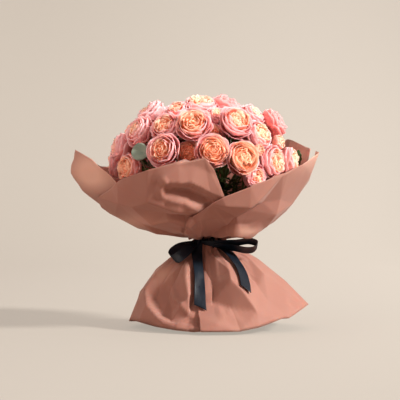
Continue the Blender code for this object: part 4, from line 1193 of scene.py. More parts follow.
# Sheets: name, layer outwards, azimuth past which the skirt stays tucked in, side edges as (level,
# first azimuth, last azimuth), and top edge as (azimuth, share of the collar's curve). A level is -1
# at the hem, 0 at the neck and 1 at the top.
SHEETS = (
    ("wrap_back_sheet", 0, NOT_TUCKED,
     ((-1, 96, 262), (0, 90, 290), (1, 92, 306)),
     ((92, 1.0), (284, 1.0), (296, 0.95), (306, 0.88))),
    ("wrap_left_sheet", 1, -16,
     ((-1, -108, 2), (-0.5, -106, 4), (-0.25, -104, 10), (0, -100, 30), (1, -74, 24)),
     ((-74, 0.69), (-62, 0.79), (-48, 0.93), (-30, 0.99), (-3, 1.0), (3, 0.94), (8, 0.81), (12, 0.72),
      (30, 0.58))),
    ("wrap_right_sheet", 2, NOT_TUCKED,
     ((-1, -5, 108), (-0.5, -14, 106), (-0.25, -26, 105), (0, -44, 104), (1, -40, 98)),
     ((-44, 0.12), (-30, 0.24), (-21, 0.40), (-14, 0.55), (-6, 0.62), (10, 0.79), (25, 0.93), (40, 0.985),
      (55, 1.0), (104, 1.0))),
)
# Long creases between the paper's flat facets: points as (azimuth, level, rise in millimetres)
CREASES = (
    # Collar: ridge over the lower face of the left sheet, and the crease that falls from its end
    ((-50.5, 0.87, 5), (-32, 0.77, 20), (-19, 0.645, 17), (-11, 0.56, 4)),
    ((-50.5, 0.87, 5), (-44, 0.7, 10), (-45, 0.435, 3)),
    ((-71, 0.72, -3), (-54, 0.71, 3), (-45.5, 0.57, 1)),
    ((-45.5, 0.42, -2), (-27, 0.525, 6), (-18, 0.45, 8), (-26.5, 0.105, 2)),
    ((-28, 0.595, -3), (-17, 0.55, -4)),
    ((-48, 0.93, 2), (-30.5, 0.99, 1), (-15, 0.995, 0), (-3, 0.995, 3)),
    ((-72.5, 0.51, -4), (-58.5, 0.41, -6)),
    ((-90, 1, 3), (-90, 0.84, 1), (-90, 0.66, -9), (-88, 0.48, -9), (-84, 0.3, -3)),
    # Collar: turned-down band of the right sheet, its deep fold and the low fold near the neck
    ((1.5, 0.69, 4), (10.5, 0.715, 9), (25, 0.755, 15), (28.5, 0.795, 14), (44, 0.98, 6), (52.5, 1, 2)),
    ((51.5, 0.75, 2), (52, 0.625, 15), (54, 0.495, 14), (28.5, 0.42, 5)),
    ((38.5, 0.735, -7), (30, 0.65, -9), (21, 0.57, -6)),
    ((-22.5, 0.32, 3), (-6, 0.535, 7), (1.5, 0.69, 4)),
    ((36, 0.02, 2), (27, 0.35, 9), (59.5, 0.295, 9), (79, 0.33, 2)),
    ((23.5, 0.915, 1), (33.5, 0.965, 1), (43.5, 0.995, 1), (67, 0.95, 1)),
    ((60, 1, 2), (78, 1, 3), (80, 0.84, 5), (80, 0.62, 5), (84, 0.42, 3), (84, 0.24, 1)),
    # Skirt: rolled fold and hollow of the left side
    ((-52, -0.34, 2), (-72, -0.535, 7), (-70, -0.72, 10), (-56, -0.835, 9), (-40, -0.91, 7),
     (-25.5, -0.95, 6), (-15, -0.93, 2)),
    ((-49.5, -0.47, -4), (-61, -0.64, -12), (-58, -0.76, -14), (-42, -0.855, -14), (-31, -0.9, -9)),
    ((-44, -0.55, -14), (-44, -0.7, -20), (-35, -0.80, -20)),
    ((-40.5, -0.295, 6), (-28, -0.5, 18), (-21, -0.69, 18), (-17, -0.88, 7)),
    # Skirt: lit fold of the front panel, its dark side and the flared foot
    ((26, -0.09, 3), (23, -0.48, 15), (20.5, -0.59, 21), (28.5, -0.715, 20), (35, -0.875, 7)),
    ((-18.5, -0.16, -3), (-6.5, -0.48, -18), (2, -0.675, -20), (18.5, -0.785, -10)),
    ((-17, -0.75, 3), (-10.5, -0.875, 3), (-5, -0.99, 2)),
    ((66, -0.355, 2), (59, -0.615, 7), (68, -0.82, 5), (74, -0.97, 2)),
    ((47.5, -0.68, -3), (49, -0.815, -2), (47, -0.97, 1)),
    ((5, -0.915, 2), (20.5, -0.99, 1), (33, -0.985, 1)),
    ((-62, -0.96, 0), (-34, -0.975, 0)),
    ((-84, -1, 2), (-84, -0.78, 5), (-86, -0.5, 6), (-78, -0.28, 3)),
    ((78, -1, 3), (80, -0.76, 4), (84, -0.45, 3)),
)
# Rows of further facet corners round the wrap: level, step of azimuth, and the most that they are
# moved, in degrees, in level and outwards in millimetres
CORNER_ROWS = (
    (-1.0, 24, 8, 0, 2), (-0.74, 26, 9, 0.06, 9), (-0.42, 24, 8, 0.05, 7), (-0.13, 18, 4, 0.02, 2),
    (0.0, 15, 0, 0, 0), (0.10, 18, 4, 0.02, 1), (0.30, 24, 7, 0.05, 7), (0.56, 26, 9, 0.07, 10),
    (0.80, 26, 9, 0.05, 9), (1.0, 22, 7, 0, 4),
)
# The creases above fill this range of azimuth. Rows moved by more than this in level stay out of it.
CREASED_AZIMUTHS = (-64, 70)
SMALL_LEVEL_SHIFT = 0.02
FACET_SEED = 7
CORNER_GAP = 30.0
# Millimetres a degree and a full level count for in the net of corners
NET_SCALE = np.array([3.0, 190.0])
FACET_SHARE = 0.92
# Short sharp folds seen from the front: sheets they are in, points of the crease as (x, z, rise), and
# how far the paper slopes away on the left and on the right of the crease, in millimetres
FRONT_FOLDS = (
    # Lip, hollow and lit lower faces of the dent
    ("left", ((-102, 310, 0), (-85, 315, 10), (-38, 315, 12), (-5, 300, 10), (28, 285, 2)), 34, 5),
    ("left", ((-88, 300, 0), (-71, 300, -13), (-38, 296, -17), (-5, 281, -13), (15, 269, 0)), 9, 24),
    ("left", ((-96, 286, 2), (-75, 277, 5), (-50, 273, 7), (-22, 256, 3)), 16, 12),
    ("left", ((-90, 316, 4), (-98, 296, 6), (-96, 279, 2)), 10, 14),
    # Folds that gather towards the neck
    ("left right", ((-121, 230, 0), (-79, 240, 4), (-46, 232, 6), (-22, 205, 3)), 14, 16),
    ("left right", ((-18, 240, 0), (-16, 222, 6), (-20, 205, 3)), 9, 9),
    ("left right", ((-88, 209, 0), (-59, 216, 5), (-34, 205, 2)), 8, 8),
    ("right", ((18, 201, 2), (48, 212, 16), (85, 210, 15), (116, 220, 2)), 18, 7),
    ("right", ((11, 259, 0), (36, 234, 5), (44, 213, 0)), 16, 14),
    # Skirt: small bright crease, folds under the knot and a pocket in the lit fold
    ("left", ((-79, 92, 2), (-69, 69, 8), (-40, 40, 3)), 10, 9),
    ("left", ((-46, 152, 0), (-55, 115, 4), (-46, 82, 2)), 9, 12),
    ("right", ((5, 191, -7), (5, 172, -8), (3, 152, 0)), 14, 14),
)
# Folds round the wrap: azimuth and level of the crease's two ends, rise, degrees it slopes each way
ROUND_FOLDS = (
    ((-96, 0.10), (-100, 0.95), 3, 11, 14), ((-146, 0.06), (-138, 0.70), 4, 14, 9),
    ((-168, 0.06), (-180, 0.80), 5, 9, 16), ((146, 0.05), (136, 0.90), 5, 8, 14),
    ((112, 0.06), (104, 0.70), 3, 10, 8), ((-124, -0.08), (-136, -0.80), 4, 8, 12),
    ((-170, -0.06), (178, -0.90), 4, 12, 9), ((138, -0.08), (128, -0.85), 5, 12, 9),
)
GATHERS = ((9, 1.0, 0.4), (14, 0.7, 2.1), (23, 0.4, 4.4))
GATHER_RISE = 1.9
# Where folds fade, in millimetres: front ones towards the back, round ones towards the front, and
# gathers next to the neck and away from it
FRONT_FOLDS_FADE = (5, 40)
ROUND_FOLDS_FADE = (20, 70)
GATHERS_FADE_IN = (1, 9)
GATHERS_FADE_OUT = (30, 110)
# Width of a crease's paler line, of wear and a painted highlight, and the rise from which it is at full
# strength, in millimetres
WORN_AND_LIT_WIDTH = 1.6
WORN_AND_LIT_IN_FULL = 5
# Grid columns, and grid rows of the skirt and the collar, for a front sheet and for the back sheet
FRONT_GRID = (214, 50, 80)
BACK_GRID = (150, 34, 56)
NECK_ROWS = 4
# Small crumples: how many a sheet has, their longest length and width in millimetres, and their rise
CRUMPLES = 46
CRUMPLE_LENGTH = 60.0
CRUMPLE_WIDTH = 15.0
CRUMPLE_RISE = 2.6
# Radius that the paper is unrolled with for them, heights they lie at, and how many of them stand out
CRUMPLE_RADIUS = 180.0
CRUMPLE_HEIGHTS = (10, 360)
CRUMPLES_OUT = 0.6
CRUMPLE_SEED = 40
PAPER_THICKNESS = 0.6
# Painted light: spots where the paper's colour is brightened, for light coming through it and for the lit
# low fold by the neck. Centre seen from the front, its size and its strength. It shows where the paper is
# less than a depth behind the axis.
PAINTED_LIGHT_DEPTH = 150
PAINTED_LIGHT_SPOTS = (
    (-262, 350, 44, 36, 1.0), (-244, 322, 40, 22, 0.6), (-168, 232, 44, 15, 0.6), (-104, 120, 26, 22, 0.5),
    (214, 384, 50, 34, 1.0), (88, 213, 30, 8, 0.6),
)


def across_rows(azimuth, column):
    """Value of one column of the wrap's table at azimuths, with straight lines between the rows."""
    return np.interp(wrapped(azimuth), WRAP_ROWS[:, 0], WRAP_ROWS[:, column])


def wrap_profile(azimuth, level):
    """Radius and height of the wrap's inmost layer; level is -1 at the hem, 0 at the neck, 1 on top.

    Above the neck it is a cubic Bezier curve over the level and below the neck a quadratic one.
    """
    up, down = np.maximum(level, 0), np.maximum(-level, 0)
    profile = []
    for axis, top, low in ((0, NECK_RADIUS, NECK_RADIUS), (1, NECK_TOP_Z, NECK_LOW_Z)):
        first, second, end, bend, hem = (across_rows(azimuth, column + axis) for column in (1, 3, 5, 7, 9))
        skirt = low * (1 - down) ** 2 + 2 * bend * (1 - down) * down + hem * down ** 2
        profile.append(np.where(level >= 0, cubic(top, first, second, end, up), skirt))
    return profile


def wrap_points(azimuth, level, layer, further_out=0.0, tucked_past=NOT_TUCKED):
    """Points of a layer of the wrap, moved out from the inmost one along the profile's normal."""
    form = np.where(level > 0, azimuth, np.minimum(azimuth, tucked_past))
    radius, height = wrap_profile(form, level)
    nearer, lower = wrap_profile(form, level * PROFILE_STEP)
    sign = np.where(level >= 0, 1.0, -1.0)
    run = unit(np.stack([radius - nearer, height - lower], axis=-1) * sign[..., None])
    beyond = radius - NECK_RADIUS
    step = np.where(level > 0, COLLAR_SPREAD * beyond, np.minimum(SKIRT_SPREAD * beyond, SKIRT_STEP_LIMIT))
    out = layer * (LAYER_STEP + step) + further_out
    points = level_direction(azimuth) * (radius + run[..., 1] * out)[..., None]
    points[..., 2] = height - run[..., 0] * out
    return points


def crease_net():
    """Corners of the paper's facets and the triangles between them, over azimuth and level.

    The corners are the points of the creases and jittered rows round the wrap. Triangles are those of
    a constrained Delaunay net, whose edges keep to the creases.
    """
    chance = np.random.default_rng(FACET_SEED)
    creased = np.concatenate([np.array(crease, dtype=float) for crease in CREASES])
    ends = set(np.cumsum([len(crease) for crease in CREASES]))
    edges = [(number - 1, number) for number in range(1, len(creased)) if number not in ends]
    loose = []
    for level, step, turn, shift, rise in CORNER_ROWS:
        azimuth = np.arange(-180, 180, step)
        azimuth = azimuth + turn * chance.uniform(-1, 1, len(azimuth))
        height = level + shift * chance.uniform(-1, 1, len(azimuth))
        row = np.stack([azimuth, height, rise * chance.uniform(0.1, 1, len(azimuth))], axis=-1)
        apart = np.linalg.norm((row[:, None, :2] - creased[None, :, :2]) * NET_SCALE, axis=-1).min(axis=1)
        free = apart > CORNER_GAP
        if shift > SMALL_LEVEL_SHIFT:
            free &= (azimuth < CREASED_AZIMUTHS[0]) | (azimuth > CREASED_AZIMUTHS[1])
        loose.append(row[free | (level == 0)])
    corners = np.concatenate([creased, *loose])
    again = [corners[corners[:, 0] * side > 90] - np.array([360 * side, 0, 0]) for side in (1, -1)]
    corners = np.concatenate([corners, *again])
    flat = [Vector(place) for place in corners[:, :2] * NET_SCALE]
    places, _, triangles, *_ = delaunay_2d_cdt(flat, edges, [], 0, 1e-4)
    places = np.array([tuple(place) for place in places])
    nearest = np.linalg.norm(places[:, None] - corners[None, :, :2] * NET_SCALE, axis=-1).argmin(axis=1)
    return places, corners[nearest, 2], np.array(triangles)


FACETS = crease_net()


def facet_shift(azimuth, level):
    """Vectors at azimuths and levels from the smooth wrap most of the way to its flat facets.

    A facet's corners lie off the smooth wrap by their rise along its normal, and a point of the facet
    is the mean of its three corners, weighted by its place between them.
    """
    places, rises, triangles = FACETS
    corner_azimuth, corner_level = (places / NET_SCALE).T
    spots = wrap_points(corner_azimuth, corner_level, 0)
    around = wrap_points(corner_azimuth + 1, corner_level, 0)
    around = around - wrap_points(corner_azimuth - 1, corner_level, 0)
    inward = np.where(corner_level > 0, -0.01, 0.01)
    along = (spots - wrap_points(corner_azimuth, corner_level + inward, 0)) / -inward[:, None]
    spots = spots + unit(np.cross(around, along)) * rises[:, None]
    azimuth = wrapped(azimuth)
    smooth = wrap_points(azimuth, level, 0)
    sought = np.stack([azimuth, level], axis=-1).reshape(-1, 2) * NET_SCALE
    flat = smooth.reshape(-1, 3).copy()
    for first, second, third in triangles:
        one, other = places[second] - places[first], places[third] - places[first]
        off = sought - places[first]
        area = one[0] * other[1] - one[1] * other[0]
        share = (off[:, 0] * other[1] - off[:, 1] * other[0]) / area
        rest = (one[0] * off[:, 1] - one[1] * off[:, 0]) / area
        inside = (share >= -1e-6) & (rest >= -1e-6) & (share + rest <= 1 + 1e-6)
        flat[inside] = (
            spots[first] + share[inside, None] * (spots[second] - spots[first])
            + rest[inside, None] * (spots[third] - spots[first])
        )
    return (flat.reshape(smooth.shape) - smooth) * FACET_SHARE


def neck_points(azimuth, height, layer, further_out=0.0):
    """Points on the straight neck of a layer."""
    points = level_direction(azimuth) * (NECK_RADIUS + layer * LAYER_STEP + further_out)
    points[..., 2] = height
    return points


def roof(x, z, crease, left, right):
    """Rise of one fold at points (x, z), and how near its crease they are.

    The rise falls off in a straight line with the distance from the crease: over one width on its
    left side and over another on its right side. Along the crease it runs from point to point.
    """
    rise, near = np.zeros_like(x), np.zeros_like(x)
    for (x0, z0, rise0), (x1, z1, rise1) in zip(crease, crease[1:]):
        run_x, run_z = x1 - x0, z1 - z0
        share = np.clip(((x - x0) * run_x + (z - z0) * run_z) / (run_x ** 2 + run_z ** 2), 0, 1)
        off_x, off_z = x - x0 - share * run_x, z - z0 - share * run_z
        width = np.where(run_x * off_z - run_z * off_x > 0, left, right)
        distance = np.hypot(off_x, off_z)
        here = (rise0 + (rise1 - rise0) * share) * np.maximum(1 - distance / width, 0)
        rise = np.where(np.abs(here) > np.abs(rise), here, rise)
        # Strength of the crease's paler line, of wear and a painted highlight
        worn_and_lit = min(1.0, max(abs(rise0), abs(rise1)) / WORN_AND_LIT_IN_FULL)
        near = np.maximum(near, bell(distance, 0, WORN_AND_LIT_WIDTH) * worn_and_lit)
    return rise, near


def fold_field(points, azimuth, level, side, amount):
    """Rise of all folds and gathers of a sheet over its grid, and how near a crease each point is."""
    beyond = np.hypot(points[..., 0], points[..., 1]) - NECK_RADIUS
    rise, near = np.zeros(azimuth.shape), np.zeros(azimuth.shape)
    in_front = ease(-points[..., 1], *FRONT_FOLDS_FADE)
    for sheets, crease, left, right in FRONT_FOLDS:
        if side in sheets:
            added, close = roof(points[..., 0], points[..., 2], crease, left, right)
            rise += added * in_front
            near = np.maximum(near, close * in_front)
    behind = 1 - ease(-points[..., 1], *ROUND_FOLDS_FADE) if side != "back" else 1.0
    for (azimuth0, level0), (azimuth1, level1), height, left, right in ROUND_FOLDS:
        share = np.clip((level - level0) / (level1 - level0), 0, 1)
        off = wrapped(azimuth - azimuth0 - wrapped(azimuth1 - azimuth0) * share)
        width = np.where(off < 0, left, right)
        on_side = np.where(level * level0 > 0, 1.0, 0.0)
        rise += height * np.maximum(1 - np.abs(off) / width, 0) * ease(share, 0, 0.4) * on_side * behind
        near = np.maximum(near, bell(off, 0, 0.8) * 0.6 * ease(share, 0, 0.2) * on_side * behind)
    turn = np.radians(azimuth)
    gather = sum(
        weight * (np.arcsin(np.sin(count * turn + shift)) / (math.pi / 2)) for count, weight, shift in GATHERS
    )
    narrow = ease(beyond, *GATHERS_FADE_IN) * (1 - ease(beyond, *GATHERS_FADE_OUT))
    return rise * amount + GATHER_RISE * gather * narrow * amount, near


def crumple_field(points, chance):
    """Rise of small straight creases scattered over a sheet, each a low roof or a dent."""
    azimuth = np.degrees(np.arctan2(points[..., 0], -points[..., 1]))
    reach = np.hypot(points[..., 0], points[..., 1])
    around = np.radians(azimuth) * CRUMPLE_RADIUS
    rise = np.zeros(reach.shape)
    for _ in range(CRUMPLES):
        x, z = chance.uniform(-180, 180) * math.pi, chance.uniform(*CRUMPLE_HEIGHTS)
        turn = chance.uniform(0, math.pi)
        half = CRUMPLE_LENGTH / 2 * chance.uniform(0.4, 1.0)
        run = np.array([math.cos(turn), math.sin(turn)]) * half
        height = CRUMPLE_RISE * chance.uniform(0.4, 1.0) * (1 if chance.random() < CRUMPLES_OUT else -1)
        crease = ((x - run[0], z - run[1], 0), (x, z, height), (x + run[0], z + run[1], 0))
        left, right = CRUMPLE_WIDTH * chance.uniform(0.4, 1.0, 2)
        rise += roof(around, points[..., 2], crease, left, right)[0]
    return rise * ease(reach, NECK_RADIUS + 4, NECK_RADIUS + 30)


def paper_sheet(name, fold_amount, look):
    """One sheet of the wrap, from its hem through the neck to its top edge, as a thin closed shell.

    A point of the grid lies at an azimuth between the sheet's two side edges and at a level of the
    wrap's profile. It moves along the surface's normal by the rise of the folds there.
    """
    layer, tucked_past, sides, top_edge = next(row[1:] for row in SHEETS if row[0] == name)
    side_levels, first_side, last_side = np.array(sides).T
    columns, skirt_rows, collar_rows = BACK_GRID if layer == 0 else FRONT_GRID
    column_share = np.linspace(0, 1, columns)[None, :]
    skirt = np.linspace(-1, 0, skirt_rows, endpoint=False)
    collar = np.linspace(0, 1, collar_rows)[1:]
    neck_heights = np.linspace(NECK_LOW_Z + layer * LAYER_STEP, NECK_TOP_Z - layer * LAYER_STEP, NECK_ROWS)
    levels = np.concatenate([skirt, np.zeros(NECK_ROWS), collar])[:, None]
    first = np.interp(levels, side_levels, first_side)
    last = np.interp(levels, side_levels, last_side)
    azimuth = first + (last - first) * column_share
    edge_azimuths, edge_shares = np.array(top_edge).T
    level = levels * np.where(levels > 0, np.interp(azimuth, edge_azimuths, edge_shares), 1.0)
    points = wrap_points(azimuth, level, layer, 0.0, tucked_past)
    form = np.where(level > 0, azimuth, np.minimum(azimuth, tucked_past))
    points = points + facet_shift(form, level)
    neck = slice(skirt_rows, skirt_rows + NECK_ROWS)
    neck_heights = np.broadcast_to(neck_heights[:, None], azimuth[neck].shape)
    points[neck] = neck_points(azimuth[neck], neck_heights, layer)
    side = name.split("_")[1]
    rise, near = fold_field(points, azimuth, level, side, fold_amount)
    rise += crumple_field(points, np.random.default_rng(CRUMPLE_SEED + layer)) * fold_amount
    rise[neck] = 0
    points = points + sheet_normals(points) * rise[..., None]
    points[..., 2] = np.maximum(points[..., 2], PAPER_THICKNESS / 2)
    # Painted light: brighter spots, mostly where light would come through the paper
    painted_light = sum(
        strength * bell(points[..., 0], x, wide) * bell(points[..., 2], z, high)
        for x, z, wide, high, strength in PAINTED_LIGHT_SPOTS
    ) * (points[..., 1] < PAINTED_LIGHT_DEPTH)
    tint = np.stack([near, np.clip(painted_light, 0, 1), 0 * near, 1 + 0 * near], axis=-1)
    place = np.stack([azimuth / 360, level, 0 * near], axis=-1)
    surface = Surface()
    surface.add_sheets(points[None], PAPER_THICKNESS, tint[None], place[None], 1.0)
    return surface.make(name.replace("_sheet", "_paper"), look)


# Ribbon

RIBBON_WIDTH = 25.0
BAND_HEIGHT = 16.0
BAND_RADIUS = NECK_RADIUS + 2 * LAYER_STEP + 0.4 + 2 * CLEARANCE
KNOT_AZIMUTH = -36.0
KNOT_SIZE = (14.6, 30.0, 16.0)
KNOT_RADIUS = BAND_RADIUS + KNOT_SIZE[0] / 2 - CLEARANCE
LEFT_LOOP = (
    ((-22, -33, 186), (-40, -58, 177), (-56, -70, 163), (-70, -69, 153), (-80, -59, 156), (-74, -49, 167),
     (-52, -43, 180), (-22, -30, 188)),
    (0.58, -0.42, -0.68),
)
RIGHT_LOOP = (
    ((-18, -34, 188), (18, -60, 188), (56, -74, 188), (86, -79, 192), (104, -76, 185), (97, -72, 174),
     (80, -70, 172), (54, -65, 177), (20, -53, 181), (-14, -34, 186)),
    (0.05, -0.82, 0.57),
)
LEFT_TAIL = ((-34, 187), (-30, 160), (-20, 136), (-14, 110), (-12, 80), (-7, 44))
RIGHT_TAIL = ((-24, 186), (2, 186), (24, 184), (38, 160), (41, 136), (37, 112), (33, 90), (31, 74))
TAIL_CLEARANCE = 5.0
SATIN_THICKNESS = 0.6
KNOT_GATHER = 0.45
STRIP_COLUMNS = 17
BAND_STEPS = 120
TAIL_SLANT = 7.0
# Knot: grid rows and columns, and its width and height against its size in CAD
KNOT_GRID = (25, 48)
KNOT_NARROWED = 0.62
KNOT_RAISED = 1.1
# Rows of a tail over which the way it faces, its line and its lift are evened out, how many points
# across it are tried, and the steps in degrees and millimetres that the wrap's slope is taken over
FACING_WINDOW = 17
LINE_WINDOW = 21
LIFT_WINDOW = 13
TRIED_ACROSS = 5
SLOPE_STEPS = (3, 2)


def strip_grid(middles, across, width, open_share, cup, pleat):
    """Grid over a ribbon strip: a middle line carried sideways, cupped and pleated.

    A point at t across lies at the middle line + t times half the width to the side, and rises along
    the strip's normal by cup * t squared and by a wave of the pleats. Where the strip is less open it
    is narrower and its pleats are deeper.
    """
    t = np.linspace(-1, 1, STRIP_COLUMNS)[None, :, None]
    width = width * (KNOT_GATHER + (1 - KNOT_GATHER) * open_share)
    pleat = pleat * (1 - open_share)
    run = unit(np.gradient(middles, axis=0))
    side = unit(np.broadcast_to(across, middles.shape))
    out = unit(np.cross(run, side))
    rise = cup[:, None, None] * (t ** 2 - 0.3) + pleat[:, None, None] * np.sin(t * 7.5 + 0.6)
    return middles[:, None] + side[:, None] * t * width[:, None, None] / 2 + out[:, None] * rise


def band_grid():
    """Band: an upright ring whose radius waves over its height, so that it lies in level pleats."""
    azimuth = np.linspace(0, 360, BAND_STEPS + 1)[:, None]
    share = np.linspace(-1, 1, STRIP_COLUMNS)[None, :]
    bow = BAND_RADIUS + 0.9 + 0.7 * np.sin(share * 9 + 0.8 * np.sin(np.radians(azimuth * 3)))
    bow = bow - 0.5 * share ** 4
    band = level_direction(azimuth + 0 * share) * bow[..., None]
    band[..., 2] = WAIST_Z + share * BAND_HEIGHT / 2 * (1 + 0.06 * np.sin(np.radians(azimuth * 2 + 40)))
    return band[::-1]


def add_knot(surface):
    """Adds the knot: a bulged drum whose skin is pleated up and down, as of a strip over the band."""
    rows, sides = KNOT_GRID
    deep, wide, high = KNOT_SIZE
    turn = np.linspace(0, math.tau, sides + 1)[:-1][None, :]
    along = np.linspace(-1, 1, rows)[:, None]
    pleats = 1 + 0.05 * np.cos(along * 17 + 0.5 * np.sin(turn * 2))
    drum = np.sqrt(np.maximum(1 - np.abs(along) ** 3.2, 0.0)) * pleats
    ahead, beside = (level_direction(np.array(KNOT_AZIMUTH + quarter)) for quarter in (0, 90))
    knot = ahead * (KNOT_RADIUS + drum * np.cos(turn) * deep / 2)[..., None]
    knot = knot + beside * (along * wide / 2 * KNOT_NARROWED + 0 * turn)[..., None]
    knot = knot + UP * (WAIST_Z + drum * np.sin(turn) * high / 2 * KNOT_RAISED)[..., None]
    place = np.stack([np.broadcast_to(along, drum.shape), turn / 2 + 0 * drum, 0 * drum], axis=-1)
    surface.add(knot, grid_faces(rows, sides, joined=True), place=place.reshape(-1, 3))


def ribbon_bow(width, look):
    """Ribbon bow: band round the neck, two loops out of the knot and back, two tails, and the knot."""
    grids = [band_grid()]
    for points, across in (LEFT_LOOP, RIGHT_LOOP):
        path = smooth_path(points, 8)
        along = np.linspace(0, 1, len(path))
        open_share = ease(np.minimum(along, 1 - along), 0.0, 0.22)
        cup = 1.6 * open_share * np.sin(along * math.pi * 2)
        grids.append(strip_grid(path, across, width, open_share, cup, 1.3))
    for stations, lean in ((LEFT_TAIL, -1.0), (RIGHT_TAIL, -0.9)):
        middles, side = tail_line(smooth_path(stations, 9), width)
        along = np.linspace(0, 1, len(middles))
        grid = strip_grid(middles, side, width, ease(along, 0.0, 0.25), 1.2 * np.sin(along * 7), 1.2)
        slant = np.linspace(-1, 1, STRIP_COLUMNS)[None, :, None] * lean * TAIL_SLANT
        slant = slant * ease(along, 0.8, 1.0)[:, None, None]
        grids.append(grid + unit(np.gradient(middles, axis=0))[:, None] * slant)
    surface = Surface()
    for grid in grids:
        place = sheet_values(1, *grid.shape[:2], 0, 0, 1)[1]
        steps = np.linalg.norm(np.diff(grid[:, STRIP_COLUMNS // 2], axis=0), axis=-1)
        place[..., 1] = np.concatenate([[0], np.cumsum(steps)])[None, :, None] / RIBBON_WIDTH
        surface.add_sheets(grid[None], SATIN_THICKNESS, (0, 0, 0, 1), place, 1.0)
    add_knot(surface)
    return surface.make("ribbon_bow_satin", look)


def tail_points(stations):
    """Points just off the outmost layer of the wrap at rows of (azimuth, height)."""
    azimuth, height = stations.T
    low, high = np.full(len(stations), -1.0), np.full(len(stations), -0.001)
    for _ in range(24):
        middle = (low + high) / 2
        below = wrap_profile(azimuth, middle)[1] < height
        low, high = np.where(below, middle, low), np.where(below, high, middle)
    on_skirt = wrap_points(azimuth, low, 2, TAIL_CLEARANCE) + facet_shift(azimuth, low)
    on_neck = neck_points(azimuth, height, 2, TAIL_CLEARANCE)
    return np.where((height > NECK_LOW_Z)[:, None], on_neck, on_skirt)


def evened(values, window):
    """Rows of values along a line, each the mean of those within a window; the ends keep their place."""
    padded = np.pad(values, ((window // 2, window // 2), (0, 0)), mode="reflect", reflect_type="odd")
    shares = np.full(window, 1 / window)
    return np.stack([np.convolve(column, shares, "valid") for column in padded.T], axis=-1)


def tail_line(stations, width):
    """Middle line of a tail and its sideways directions, at rows of (azimuth, height).

    The line and the way it faces are those of the wrap, evened out along the tail. It lies above the
    highest of the folds and facets across the tail's width, because the ribbon bridges them.
    """
    around, up = (
        tail_points(stations + step) - tail_points(stations - step) for step in np.diag(SLOPE_STEPS)
    )
    on_skirt = unit(np.cross(around, up))
    out = np.where((stations[:, 1] > NECK_LOW_Z)[:, None], level_direction(stations[:, 0]), on_skirt)
    out = unit(evened(out, FACING_WINDOW))
    middles = tail_points(stations)
    middles = middles + (evened(middles, LINE_WINDOW) - middles) * ease(NECK_LOW_Z - middles[:, 2:], 0, 30)
    side = unit(np.cross(unit(np.gradient(middles, axis=0)), out))
    reach = np.hypot(middles[:, 0], middles[:, 1])
    offsets = np.linspace(-0.5, 0.5, TRIED_ACROSS)[:, None] * np.degrees(width / reach)
    spread = np.stack([tail_points(stations + np.stack([turn, 0 * turn], axis=-1)) for turn in offsets])
    azimuth = stations[:, 0] + offsets
    level = np.full(azimuth.shape, -0.5)
    rises = [fold_field(spread, azimuth, level, sheet, 1.0)[0] for sheet in ("left", "right")]
    above = ((spread - middles) * out).sum(axis=-1) + np.max(rises, axis=0)
    above = np.pad(above.max(axis=0), LIFT_WINDOW // 2, mode="edge")
    near = np.lib.stride_tricks.sliding_window_view(above, LIFT_WINDOW)
    lift = np.maximum(near.max(axis=-1), 0) * ease(NECK_LOW_Z - stations[:, 1], -4, 14)
    return middles + out * evened(lift[:, None], LIFT_WINDOW), side


# Stage

FLOOR_RADIUS = 2.6
WALL_RADIUS = 4.6
FLOOR_SIDES = 96
WALL_ROWS = 20
CAMERA_PLACE = (-0.0187, -2.80, 0.279)
SENSOR_WIDTH = 36.0
KEY_FROM = (0.78, -0.36, 0.51)
KEY_COLOUR = (1.0, 0.965, 0.92)
FILL_PLACE = (-2.3, -2.2, 1.5)
FILL_TARGET = (0.0, 0.0, 0.28)
FILL_SIZE = 1.6
FILL_COLOUR = (1.0, 0.86, 0.78)
SKY_COLOUR = (1.0, 0.86, 0.79, 1.0)


def sweep_floor(look):
    """Round floor that curves up into a low wall: one profile turned about the upright axis."""
    turn = np.linspace(0, math.tau, FLOOR_SIDES, endpoint=False)[None, :]
    bend = np.linspace(0, math.pi / 2, WALL_ROWS)
    radius = np.concatenate([[0.02, 1.0], FLOOR_RADIUS + (WALL_RADIUS - FLOOR_RADIUS) * np.sin(bend)])
    height = np.concatenate([[0, 0], (WALL_RADIUS - FLOOR_RADIUS) * (1 - np.cos(bend))])
    points = np.stack([
        radius[:, None] * np.cos(turn), radius[:, None] * np.sin(turn), height[:, None] + 0 * turn,
    ], axis=-1).reshape(-1, 3) / MM
    faces = grid_faces(len(radius), FLOOR_SIDES, joined=True)[:, ::-1]
    surface = Surface()
    surface.add([*points, (0, 0, 0)], faces, fan_faces(len(points), 0, FLOOR_SIDES, turned=True))
    return surface.make("floor", look)


def link_light(lamp, colour, facing, place=(0, 0, 0)):
    """Puts a light in the scene at a place, turned as given."""
    lamp.color = colour
    light = bpy.data.objects.new(lamp.name, lamp)
    light.location = place
    light.rotation_euler = facing.to_euler()
    bpy.context.scene.collection.objects.link(light)


# Settings that a user would change


def number_setting(name, description, default, least, most, **kind):
    return bpy.props.FloatProperty(
        name=name, description=description, default=default, min=least, max=most, **kind,
    )


def colour_setting(name, description, default):
    return bpy.props.FloatVectorProperty(
        name=name, description=description, default=default, subtype="COLOR", size=3, min=0.0, max=1.0,
    )


